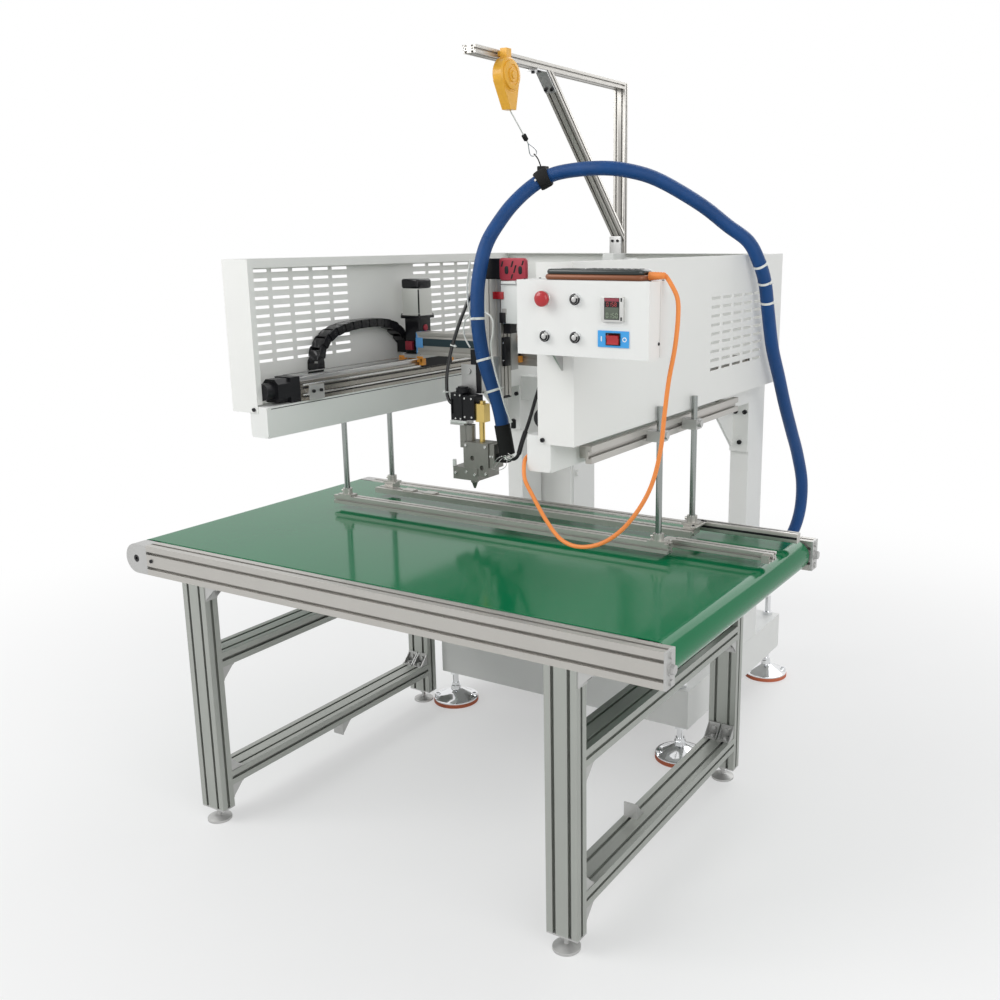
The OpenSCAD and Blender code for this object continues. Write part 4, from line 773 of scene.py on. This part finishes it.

# %% [markdown]
# ## The link chain
# The cables to the gantry lie in a chain of plastic links. The real one rolls as the gantry moves;
# here the chain is laid out in one pose and belongs to no body.
# Each link is a pair of side walls with a tongue at one end and a fork at the other, and two lids.
# One link is made lying straight, and a loop turns it to its slope and sets it on its pin. An array
# along a curve would be shorter, but it stretches links and loses their pins.

# %% Chain
CHAIN_PITCH, CHAIN_W, CHAIN_H, WALL = 34.0, 42.0, 24.0, 3.2
CHAIN_SLOPE = np.array([90, 88, 74, 50, 30, 16, 9, 5, 2, 0, -2, -8, -18, -36, -45])
CHAIN_FOOT = (178.6, 459.0, 1126.0)
MID0, MID1 = 0.42 * CHAIN_PITCH, 0.62 * CHAIN_PITCH


def half_round(start, stop, radius, steps=10):
    """Outline of a strip from start to stop that ends in a half circle round (stop, 0): the points
    are (stop + side r cos t, side r sin t), where side is 1 or -1, towards the stop."""
    t = np.linspace(-np.pi / 2, np.pi / 2, steps)
    side = 1 if stop > start else -1
    arc = np.column_stack([stop + side * radius * np.cos(t), side * radius * np.sin(t)])
    return np.vstack([[(start, -side * radius)], arc, [(start, side * radius)]])


def chain_side():
    """Tongue inside, fork outside, a full-height wall between them and a boss at the pin."""
    inner = WALL + 0.3
    tongue_r = CHAIN_H / 2 - 3.3
    return [plate(half_round(MID1, 0, tongue_r), inner, inner + WALL, 0),
            plate(half_round(MID0, CHAIN_PITCH, CHAIN_H / 2), 0, WALL, 0),
            slab((0.2, MID0, -CHAIN_H / 2 + 0.1), (inner + WALL, MID1, CHAIN_H / 2 - 0.1), 1.0, 0.4, 1),
            turned([(5.2, 0), (5.2, 0.5), (4.4, 0.8), (2.0, 0.8)], (0, CHAIN_PITCH, 0), (-1, 0, 0), 16)]


def mirrored(skin, width):
    """x becomes width - x; the corners of each face are taken backwards, so it still faces out."""
    points = (skin.points - CORNER) * [-1, 1, 1] + [width * MM, 0, 0] + CORNER
    ends = np.cumsum(skin.counts)
    step = np.arange(ends[-1]) - np.repeat(ends - skin.counts, skin.counts)
    order = np.repeat(ends - 1, skin.counts) - step
    return skin._replace(points=points, loops=skin.loops[order], uv=skin.uv[order])


def chain_link():
    """Both sides, the wide lid outside the bend and the short one inside."""
    sides = chain_side()
    edge = WALL + 0.3
    return sides + [mirrored(s, CHAIN_W) for s in sides] + [
        slab((edge, 1.5, CHAIN_H / 2 - 3), (CHAIN_W - edge, CHAIN_PITCH - 1.5, CHAIN_H / 2 + 0.4), 3.0, 1.2),
        slab((edge, 7, -CHAIN_H / 2 - 0.2), (CHAIN_W - edge, CHAIN_PITCH - 7, 3 - CHAIN_H / 2), 3.0, 1.0)]


slopes = np.radians(CHAIN_SLOPE)
steps = CHAIN_PITCH * np.column_stack([np.zeros(len(slopes)), np.cos(slopes), np.sin(slopes)])
pins = np.vstack([[CHAIN_FOOT], CHAIN_FOOT + np.cumsum(steps, axis=0)])
one_link = chain_link()
links = []
for angle, pin in zip(slopes, pins):
    c, n = math.cos(angle), math.sin(angle)
    tilt = [[1, 0, 0], [0, c, -n], [0, n, c]]
    links += [placed(skin, tilt, at(pin)) for skin in one_link]
chain = make("link_chain", None, [black_gloss], links)
bevel = chain.modifiers.new("broken_edges", "BEVEL")
bevel.width = 0.5 * MM
bevel.limit_method = "ANGLE"
bevel.angle_limit = math.radians(50)
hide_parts("drag_chain")
bend(chain, "root", "y_gantry", (200, 459, 1130), (200, 841, 1228))
print("chain:", len(slopes), "links, last pin at", pins[-1].round(1))

# %% [markdown]
# ## The line of the balancer
# A spring in the yellow drum pulls on a steel wire, and the wire holds the hose up. It ends in a
# pressed sleeve and a small loop, and a black strap holds the hose. The strap is two sets of rings
# on the hose's own line, so it fits the hose exactly.

# %% Wire, ferrule and loop
WIRE_TOP, WIRE_END = (697.0, 710.0, 1852.5), (704.0, 846.0, 1720.0)
FERRULE_AT, LOOP_AT, LOOP_HALF = 0.42, (0.56, 0.80), 15


def on_wire(share, aside=0):
    """Top of the wire + share of the way to its end + aside millimetres to its side."""
    return np.asarray(WIRE_TOP) + share * np.subtract(WIRE_END, WIRE_TOP) + aside * to_side


pull = unit(np.subtract(WIRE_END, WIRE_TOP))
to_side = unit(np.cross(pull, (-0.6, 1.0, -0.3)))
t = np.linspace(0, np.pi, 13)
drop = 0.5 * (1 - np.cos(t))
middle_line = on_wire(LOOP_AT[0]) + drop[:, None] * (on_wire(LOOP_AT[1]) - on_wire(LOOP_AT[0]))
bulge = LOOP_HALF * (np.sin(t) * drop)[:, None] * to_side
teardrop = np.vstack([middle_line + bulge, (middle_line - bulge)[-2::-1]])
hook = spline(at([on_wire(0.77), on_wire(0.87, 3), WIRE_END, on_wire(1.04, -3)]), 6)
wire_skins = [tube(at([WIRE_TOP, on_wire(0.3), on_wire(LOOP_AT[0])]), 1.9 * MM, 8, 3),
              turned([(3, 0), (6.8, 2), (6.8, 17), (3, 20)], on_wire(FERRULE_AT), pull, 14, 1),
              tube(at(teardrop), 1.5 * MM, 8, 2), tube(hook, 1.7 * MM, 8, 1)]
print("wire:", round(float(np.linalg.norm(np.subtract(WIRE_END, WIRE_TOP))), 1), "mm")

# %% Strap round the hose
STRAP_BETWEEN, STRAP_R, STRAP_SWELL = (11.35, 12.25), 24.0, 3.0
STUD = [(3.4, 0), (3.4, 2.4), (2.6, 3), (1.4, 3), (1.2, 1.4)]
STUD_TURN = np.column_stack([(1, 0, 0), (0, 0, 1), (0, -1, 0)])
first, last = (round(v * PER) for v in STRAP_BETWEEN)
strap_run = hose_line[first + 1:last - 1]
strap_n, strap_b = round_frame(unit(np.gradient(strap_run, axis=0)))
strap_r = STRAP_R + STRAP_SWELL * np.sin(np.linspace(0, np.pi, len(strap_run))) ** 0.3
outside = rings(strap_run, strap_r * MM, strap_n, strap_b, 32)
inside = rings(strap_run[::-1], (HOSE_R + 0.2) * MM, strap_n[::-1], strap_b[::-1], 32)
strap = [surface(np.concatenate([outside, inside]), ring=True, paint=1),
         slab((698, 834, 1690), (722, 862, 1720), 4, 2, paint=1)]
stud = turned(STUD, (0, 0, STRAP_R + 1), (0, 0, 1), 12, 2)
strap += [placed(stud, STUD_TURN, strap_run[int(share * (len(strap_run) - 1))]) for share in (0.3, 0.7)]
line = make("balancer_wire", None, [brushed, rubber_black, bright_screw, clear_tube],
            wire_skins + strap)
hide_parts("balancer_line")
bend(line, *HOSE_BLENDS["hose_y"])
print("strap over", round(length_of(strap_run) / MM), "mm of hose")

# %% [markdown]
# ## Screws
# A socket head screw is one turned profile: up the side, over a small chamfer and down into the
# socket. The same profile serves every screw, in the size and on the axis that its place needs.

# %% One screw for every place
FRONT, UP, RIGHT = (0, -1, 0), (0, 0, 1), (1, 0, 0)


def screw_head(place, axis, radius, height, paint=0):
    """Profile: radius to 85% of the height, chamfer to the top, down a socket half as wide."""
    r, h = radius, height
    profile = [(r, 0), (r, 0.85 * h), (0.9 * r, h), (0.56 * r, h), (0.5 * r, 0.45 * h)]
    return turned(profile, place, axis, 14, paint)


head_screws = [screw_head((x, 634, z), FRONT, 4.2, 3.6) for x in (579, 645) for z in (889, 966)]
head_screws += [screw_head((x, 632, 884), FRONT, 4.2, 3.6) for x in (543, 609)]
head_screws += [screw_head((x, 638, z), FRONT, 2.6, 2.0) for x in (544, 561) for z in (1038, 1104)]
head_screws += [screw_head((x, 640, z), FRONT, 3.0, 2.6) for x in (575, 598) for z in (1044, 1096)]
head_screws += [screw_head((x, 638, 940), FRONT, 3.0, 2.4) for x in (659, 667)]
make("head_screws", "z_head", [bright_screw], head_screws)

gantry_screws = [screw_head((x, y, 1188), UP, 4.0, 3.0) for x in (232, 299, 1077, 1144) for y in (803, 947)]
gantry_screws += [screw_head((x, 794, 1173), FRONT, 3.0, 2.2) for x in (255, 277, 1100, 1122)]
make("gantry_screws", "y_gantry", [bright_screw], gantry_screws)

slide_screws = [screw_head((x, 782, z), FRONT, 2.8, 2.4) for x in (570, 600) for z in (1202, 1246)]
slide_screws += [screw_head((666.5, 702, z), FRONT, 2.6, 1.8) for z in (1200, 1248)]
slide_screws += [screw_head((634, 782, z), FRONT, 3.4, 2.4, 1) for z in (1264, 1186)]
make("slide_screws", "x_carriage", [bright_screw, black_screw], slide_screws)

stand_screws = [screw_head((1419, 124.5, 1327.5), RIGHT, 3.2, 1.6)]
stand_screws += [screw_head((x, 100 + 58 * k, 1447), UP, 2.6, 1.6) for x in (1129, 1411) for k in (0, 1)]
stand_screws += [screw_head((x, 1384, 1441.6), FRONT, 3.6, 2.2) for x in (636.3, 656.5)]
stand_screws += [screw_head((178.2, y, 1470), RIGHT, 3.0, 2.0) for y in (230, 800, 1380)]
stand_screws += [screw_head((x, 1379.5, 1519), FRONT, 4.6, 3) for x in (641, 660)]
make("cover_screws", "root", [black_screw], stand_screws)
saddle = [slab((625, 1384, 1436), (667.6, 1396.8, 1466), 2, 0.8, 1),
          slab((669, 1388, 1436), (726, 1396.8, 1466), 2, 0.8, 1),
          slab((630, 1379.5, 1464), (672, 1384.5, 1534), 3, 1, 1, paint=1)]
make("brace_saddle", "root", [powder, cast], saddle)
print("screws:", sum(map(len, (head_screws, gantry_screws, slide_screws, stand_screws))))

# %% [markdown]
# ## Motor of the beam
# The motor stands on the left end of the beam: a black gear case, a flange, an aluminium body with a
# dark joint at its corner and a black cap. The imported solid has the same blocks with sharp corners,
# so this piece takes its place, with rolled edges and screws.

# %% Servo motor
MOTOR_X, MOTOR_Y, MOTOR_W = 222.0, 812.0, 68.0
PLUG = [(10, 0), (10, 2.5), (8.6, 4), (5, 4.4), (0.6, 4.4)]


def motor_block(inset, low, high, corner, edge, paint):
    """A slab round the motor's axis, inset from the motor's own width."""
    return slab((MOTOR_X + inset, MOTOR_Y + inset, low),
                (MOTOR_X + MOTOR_W - inset, MOTOR_Y + MOTOR_W - inset, high), corner, edge, paint=paint)


motor_grey = finish("motor_grey", (0.66, 0.66, 0.62), 0.40, grain=500, bump=0.03)
right_side = MOTOR_X + MOTOR_W
motor = [motor_block(6, 1188.1, 1294, 3, 1, 0), motor_block(-3, 1294, 1303, 4, 1, 0),
         motor_block(-1, 1303, 1307.5, 4, 1, 1), motor_block(1, 1307.5, 1383, 5, 1.5, 1),
         motor_block(0, 1383, 1411, 10, 6, 0)]
motor += [slab((right_side - 3.6, MOTOR_Y - 0.2, 1310), (right_side + 0.2, MOTOR_Y + 3.4, 1381), 0.8, 0.3)]
motor += [screw_head((MOTOR_X + dx, MOTOR_Y + dy, 1303), UP, 3.6, 5)
          for dx in (2, MOTOR_W - 2) for dy in (2, MOTOR_W - 2)]
motor += [turned(PLUG, (right_side - 6, 846, 1266), RIGHT, 24, 2),
          slab((MOTOR_X + 14, MOTOR_Y - 6, 1200), (MOTOR_X + 40, MOTOR_Y + 7, 1226), 2, 0.8, paint=2)]
servo_motor = make("servo_motor", "y_gantry", [black_gloss, motor_grey, dark_red], motor)
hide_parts("servo")
print("motor:", len(motor), "shapes")

# %% [markdown]
# ## Caps of the axes, and painted shade and highlights along their grooves
# The carriages carry orange scraper caps and the beam ends in blue ones. Long fine lines run along the
# profiles, each a strip a fraction of a millimetre proud of the profile: the dark ones are painted
# shade where a groove is deep, and the bright ones are painted highlights where an edge shines.

# %% Caps, seams, and painted groove shade and edge highlights of the axes
CAP_Y = 793.4
caps = [slab((x, CAP_Y, 1166), (x + 20, 800, 1184), 2, 1, 1) for x in (220.5, 289, 1065.5, 1134)]
caps += [slab((x, CAP_Y, 1157), (x + 8, 812, 1178), 2, 1, 1) for x in (301.6, 1146.6)]
make("carriage_caps", "y_gantry", [orange_cap], caps)
make("beam_end_caps", "y_gantry", [cap_blue],
     [slab((x, 797.2, 1210), (x + 26, 800.4, 1239.6), 2, 0.8, 1) for x in (284.4, 1064.6)])
AXIS_SIDES = [x for pair in AXES_X for x in pair]
# Dark strips are painted shade in the grooves and bright strips are painted highlights on their edges; the
# dark strip low on each arm beam is a seam line.
GROOVE_SHADE_Z, EDGE_HIGHLIGHT_Z = ((1122, 1125), (1146, 1149)), ((1127, 1131), (1153, 1158), (1176, 1179))
shade_and_highlight_strips = [slab((x - 0.3, 302, low), (x + 0.3, 1328, high), 0.2, 0.05, 0)
           for x in AXIS_SIDES for low, high in GROOVE_SHADE_Z]
shade_and_highlight_strips += [slab((x - 0.2, 190, 1105.4), (x + 0.2, 1350, 1107.4), 0.2, 0.05, 0) for x in (295, 1080)]
shade_and_highlight_strips += [slab((x - 0.4, 302, low), (x + 0.4, 1328, high), 0.3, 0.1, 0, paint=1)
            for x in AXIS_SIDES for low, high in EDGE_HIGHLIGHT_Z]
make("axis_groove_shade_and_highlights", "root", [black_plastic, bright_screw], shade_and_highlight_strips)
print("grooves:", len(shade_and_highlight_strips))

# %% [markdown]
# ## Switches and belt housing of the lift
# Beside the lifting axis sit small limit switches on a white back plate, and above it a red moulded
# housing covers the belt. Its front is open in slanted slits and two oval holes. Cutting them with
# Boolean would leave long thin faces, so they are thin dark forms of painted shade set into the front.

# %% Switches beside the lift
switches = [slab((661, 702, 1184), (672.5, 729, 1263), 2, 0.8),
            slab((660, 693, 1303), (679, 700, 1331), 2, 0.8),
            slab((640, 692, 1367), (674, 700, 1387), 2, 1, paint=1),
            slab((669, 690, 1408), (717, 700, 1415.6), 1.5, 0.6, paint=2),
            slab((664, 697, 1303), (722, 699.9, 1406), 2, 0.6, paint=2)]
make("lift_switches", "x_carriage", [black_plastic, red_plastic, powder], switches)
print("beside the lift:", len(switches), "shapes")

# %% Belt housing above the lift
HOUSING = ((664.0, 692.0, 1417.0), (750.0, 704.0, 1477.0))
HOUSING_FRONT = HOUSING[0][1]
SLITS = [(674, 1461, 7), (706, 1461, 8), (715, 1448, 10), (740, 1464, 6), (705, 1428, 6)]
SLIT_W = 2.4


def slit(x, z, half):
    """A slanted slit on the front of the housing, drawn as a flat dark strip of painted shade from
    (x - lean, z - half) to (x + lean, z + half), where lean is a third of half."""
    lean = half / 3
    low, high = (z - half, x - lean), (z + half, x + lean)
    outline = [(low[0], low[1] - SLIT_W), (high[0], high[1] - SLIT_W), (high[0], high[1] + SLIT_W),
               (low[0], low[1] + SLIT_W)]
    return plate(outline, HOUSING_FRONT - 0.5, HOUSING_FRONT + 0.5, 1, 1)


case = [slab(*HOUSING, 9, 2.5, 1), slab((607, 698, 1420), (716, 752, 1475), 6, 2.5, 1, paint=1)]
# The slits and the two oval holes are dark forms of painted shade, where the real openings are.
case += [slit(x, z, half) for x, z, half in SLITS]
case += [slab((x - 6, 691.4, 1434), (x + 6, 692.4, 1456), 5.9, 0.3, 1, paint=1) for x in (688, 732)]
housing = make("belt_housing_case", "x_carriage", [dark_red, black_plastic], case)
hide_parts("belt_housing")
print("housing:", len(SLITS), "slits")

# %% [markdown]
# ## The front of the control box
# This is where a hand and an eye go first, so it gets the finest detail: a collar under the
# emergency stop, dark rings on the buttons, numbers on the controller and the marks beside the
# rocker. Text objects would do for the numbers, but seven bars per digit are what a display has.

# %% Stop knob and buttons
BOX_Y = 82.0
STOP = (1184.0, 1411.0)
KEYS = {"button_a": (1259.0, 1411.0), "button_b": (1189.0, 1337.0), "button_c": (1259.0, 1337.0)}


def flat_ring(place, inner, outer, thick, paint=0):
    """A ring that stands proud of the box by thick: in, out, up and back in again."""
    outline = [(inner, 0), (outer, 0), (outer, 0.7 * thick), (outer - 0.3 * thick, thick), (inner, thick)]
    return turned(outline, place, FRONT, 36, paint, ring=True)


def open_ring(place, radius, thick, start, stop, paint=0):
    """A bent rod round a place on the box: x = r cos a, z = r sin a, a from start to stop."""
    a = np.radians(np.linspace(start, stop, 26))
    x, y, z = place
    path = np.column_stack([x + radius * np.cos(a), np.full(26, y), z + radius * np.sin(a)])
    return tube(at(path), thick * MM, 10, paint)


make("stop_collar", "root", [silver_frame], [flat_ring((STOP[0], BOX_Y, STOP[1]), 7.5, 16.0, 2.0)])
KNOB = [(6.4, 8.6), (6.4, 9), (13.8, 9), (15.4, 10.6), (15.8, 13.5), (15.4, 16.5), (13.8, 18.8),
        (11.4, 20.4), (8.2, 21.5), (4.4, 22.1), (0.6, 22.2)]
STEM = [(6.2, -22), (6.2, 10)]
knob = make("stop_knob", "e_stop", [red_plastic],
            [turned(KNOB, (STOP[0] + 4, BOX_Y, STOP[1]), FRONT, 40),
             turned(STEM, (STOP[0], BOX_Y, STOP[1]), FRONT, 24)])
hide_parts("e_stop")
FACE, FACE_Y, RIM_Y = [(5.2, 0), (5.2, 0.9), (4.6, 1.3), (0.5, 1.3)], 73.0, 75.8
OPEN_FROM, OPEN_TO = 85, 380
for key, (x, z) in KEYS.items():
    face = [turned(FACE, (x, FACE_Y, z), FRONT, 24),
            open_ring((x, FACE_Y + 0.4, z), 7.1, 1.7, OPEN_FROM, OPEN_TO, 1)]
    make(key + "_face", key, [cast, black_plastic], face)
make("button_rims", "root", [black_plastic],
     [open_ring((x, RIM_Y, z), 10.3, 1.0, OPEN_FROM, OPEN_TO) for x, z in KEYS.values()])
print("buttons:", list(KEYS))

# %% Temperature controller
METER = (1343.0, 1394.0)
BARS = {"top": (0, 2, 1), "upper_left": (-1, 1, 0), "upper_right": (1, 1, 0), "middle": (0, 0, 1),
        "lower_left": (-1, -1, 0), "lower_right": (1, -1, 0), "bottom": (0, -2, 1)}
LIT = {"0": "top upper_left upper_right lower_left lower_right bottom",
       "1": "upper_right lower_right",
       "5": "top upper_left middle lower_right bottom",
       "8": "top upper_left upper_right middle lower_left lower_right bottom"}


def number(text, left, foot, height, y, paint):
    """Each digit is bars of thickness height / 8, on a grid of half a digit's height."""
    wide, half, thick = 0.46 * height, 0.25 * height, height / 16
    skins = []
    for k, digit in enumerate(text):
        middle_x, middle_z = left + (k + 0.5) * 0.76 * height, foot + 2 * half
        for bar in LIT[digit].split():
            side, level, flat = BARS[bar]
            x, z = middle_x + side * wide / 2, middle_z + level * half
            dx, dz = (wide / 2 - thick, thick) if flat else (thick, half - thick)
            low, high = (x - dx, y - 0.2, z - dz), (x + dx, y, z + dz)
            skins.append(slab(low, high, 0.9 * thick, 0.1, 1, 1, paint=paint))
    return skins


def on_panel(x0, z0, x1, z1, y, thick, corner, paint, middle=METER):
    """A flat piece on the box, given from the middle of what it belongs to."""
    return slab((middle[0] + x0, y, middle[1] + z0), (middle[0] + x1, y + thick, middle[1] + z1),
                corner, 0.3 * min(thick, 2.0), 1, paint=paint)


digit_red = finish("digit_red", (0.60, 0.06, 0.06), 0.4, bump=0.0)
digit_green = finish("digit_green", (0.26, 0.32, 0.22), 0.4, bump=0.0)
meter = [on_panel(-24, -24, 24, 24, 75, 7, 2.5, 0),
         on_panel(-17, -19.5, 16, 22.4, 74.4, 1.2, 1.0, 1),
         on_panel(-16, 15.2, 15, 21.6, 74.1, 0.5, 0.6, 2),
         on_panel(-15.5, -18.4, 14.8, 4.2, 74.1, 0.5, 0.6, 3),
         on_panel(18.4, 15, 21.6, 22.5, 74.3, 1.0, 0.8, 1),
         on_panel(18.4, -21, 21.6, -14, 74.3, 1.0, 0.8, 1),
         on_panel(-22, -31.5, 20, -25.6, 81.5, 0.6, 0.6, 4)]
meter += number("0150", METER[0] - 13.5, METER[1] - 15.5, 8.8, 74.1, 6)
meter += number("0158", METER[0] - 12.5, METER[1] + 6.0, 7.6, 74.4, 5)
meter_finishes = [silver_frame, black_gloss, display_red, display_green, white_print_and_reflection, digit_red, digit_green]
meter_piece = make("temperature_controller", "root", meter_finishes, meter)
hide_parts("controller")
print("controller:", len(meter), "shapes")

# %% Marks beside the rocker, and the seam of the box
ROCKER = (1343.0, 1337.0)
RING = [(3.0, 0), (4.6, 0), (4.6, 0.4), (3.0, 0.4)]
marks = [on_panel(-27, -5, -24.6, 5, 79.6, 0.4, 0.8, 0, ROCKER),
         turned(RING, (ROCKER[0] + 25, 80, ROCKER[1]), FRONT, 28, 0, True)]
bezel = [(-16, -12, -13.3, 12), (13.3, -12, 16, 12), (-13.3, 9.8, 13.3, 12), (-13.3, -12, 13.3, -9.8)]
marks += [on_panel(*place, 78.6, 1.4, 0.8, 1, ROCKER) for place in bezel]
make("switch_marks", "root", [white_print_and_reflection, black_plastic], marks)
make("box_seam", "root", [grey_paint],
     [slab((1418.8, 129.4, 1301), (1419.2, 130.4, 1445), 0.3, 0.1, 2)])
print("control box dressed")

# %% [markdown]
# ## The hand pendant
# The pendant lies on the box: a copper-coloured tray with round ends under a glossy dark lid. Both
# are slabs with rolled edges, because such cases are moulded with generous radii.

# %% Pendant
pendant = [slab((1172, 100, 1447), (1396, 156, 1458.4), 14, 5, paint=0),
           slab((1175, 102, 1456.5), (1393, 154, 1468.4), 14, 5.5, steps=5, paint=1)]
pendant += [slab((x, y, 1467.6), (x + 10, y + 7, 1469.4), 2.5, 0.6, paint=3)
            for x in range(1262, 1382, 15) for y in (116, 128, 140)]
pendant += [slab((1204, 116, 1467.6), (1246, 144, 1468.9), 3, 0.4, paint=3)]
# Two small white strips on the front edge of the lid are painted reflections of the light.
pendant += [slab((x, 102.6, 1462.4), (x + w, 104.4, 1465.6), 0.9, 0.4, paint=2)
            for x, w in ((1249, 8), (1278, 18))]
pendant_case = make("pendant_case", "root",
                    [copper_brown, top_green, white_print_and_reflection, black_plastic], pendant)
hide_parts("pendant")
print("pendant:", len(pendant), "shapes")

# %% [markdown]
# ## Extension of the rear guide
# Beyond the stand the rear guide goes on as a second bar nearer the rear edge, as the front one
# does. It is a profile with a groove on its top and its front, each a dark strip of painted shade, and
# a plate ties it to the guide.

# %% Guide extension
EXT_X, EXT_Y, EXT_Z, EXT_W = (1206.0, 1492.0), 800.0, 765.5, 25.0
x0, x1 = EXT_X
ext_top = EXT_Z + EXT_W
groove = 0.12 * EXT_W
middle_y, middle_z = EXT_Y + EXT_W / 2, EXT_Z + EXT_W / 2
extension = [slab((x0, EXT_Y, EXT_Z), (x1, EXT_Y + EXT_W, ext_top), 1.5, 0.8, 0),
             slab((1222, 738, 785.5), (1240, EXT_Y + 12, ext_top), 2, 0.8)]
# Dark strips of painted shade where the grooves are, on the top and on the front.
extension += [slab((x0 + 1, middle_y - groove, ext_top - 0.2), (x1 - 1, middle_y + groove, ext_top + 0.3),
                   0.8, 0.1, paint=1),
              slab((x0 + 1, EXT_Y - 0.3, middle_z - groove), (x1 - 1, EXT_Y + 0.2, middle_z + groove),
                   0.8, 0.1, paint=1)]
extension += [screw_head((1227, y, ext_top), UP, 3.6, 3, 2) for y in (746, 806)]
make("rear_guide_extension", "rear_guide", [anodised, black_plastic, black_screw], extension)
print("extension:", x1 - x0, "mm long")

# %% [markdown]
# ## Braid and foil at the hose boot
# Where the hose ends above the head, its shield is drawn out: a short cuff of foil and a few bright
# wires that run to an earth screw. They are thin tubes round splines, one radius for all.

# %% Foil cuff and wires
CUFF_DROP, WIRE_R = 19, 0.9
CUFF = [(9.5, 0), (15.5, 3), (12.6, 6), (16.8, 9), (13.2, 12), (17.0, 15), (13.0, 18)]
WIRES = [[(694, 652, 944), (684, 640, 938), (674, 636, 926), (668, 638, 916)],
         [(704, 650, 950), (716, 640, 954), (726, 640, 950), (733, 644, 946)],
         [(706, 650, 946), (714, 638, 946), (722, 636, 940), (730, 642, 944)],
         [(708, 652, 942), (718, 640, 934), (724, 640, 938), (732, 644, 946)],
         [(700, 648, 942), (694, 636, 934), (686, 632, 922), (676, 634, 912), (666, 638, 910)],
         [(706, 648, 944), (714, 638, 932), (712, 634, 918), (698, 632, 908), (680, 634, 904),
          (662, 638, 906)]]
hose_up = unit(np.subtract(HOSE_ROUTE[1], HOSE_ROUTE[0]))
cuff = [turned(CUFF, HOSE_ROUTE[0] - CUFF_DROP * hose_up, hose_up, 20)]
cuff += [tube(spline(at(points), 8), WIRE_R * MM, 8, 1) for points in WIRES]
cuff += [slab((531, 634, 898), (541, 640, 921), 2, 1, 1, paint=2),
         slab((527, 634, 1026), (583, 640, 1033), 1.5, 0.8, 1, paint=2),
         slab((719, 652, 1022), (731, 662, 1046), 2, 1, paint=3)]
make("hose_braid", "z_head", [foil, bright_screw, powder, rubber_black], cuff)
print("braid wires:", len(WIRES))
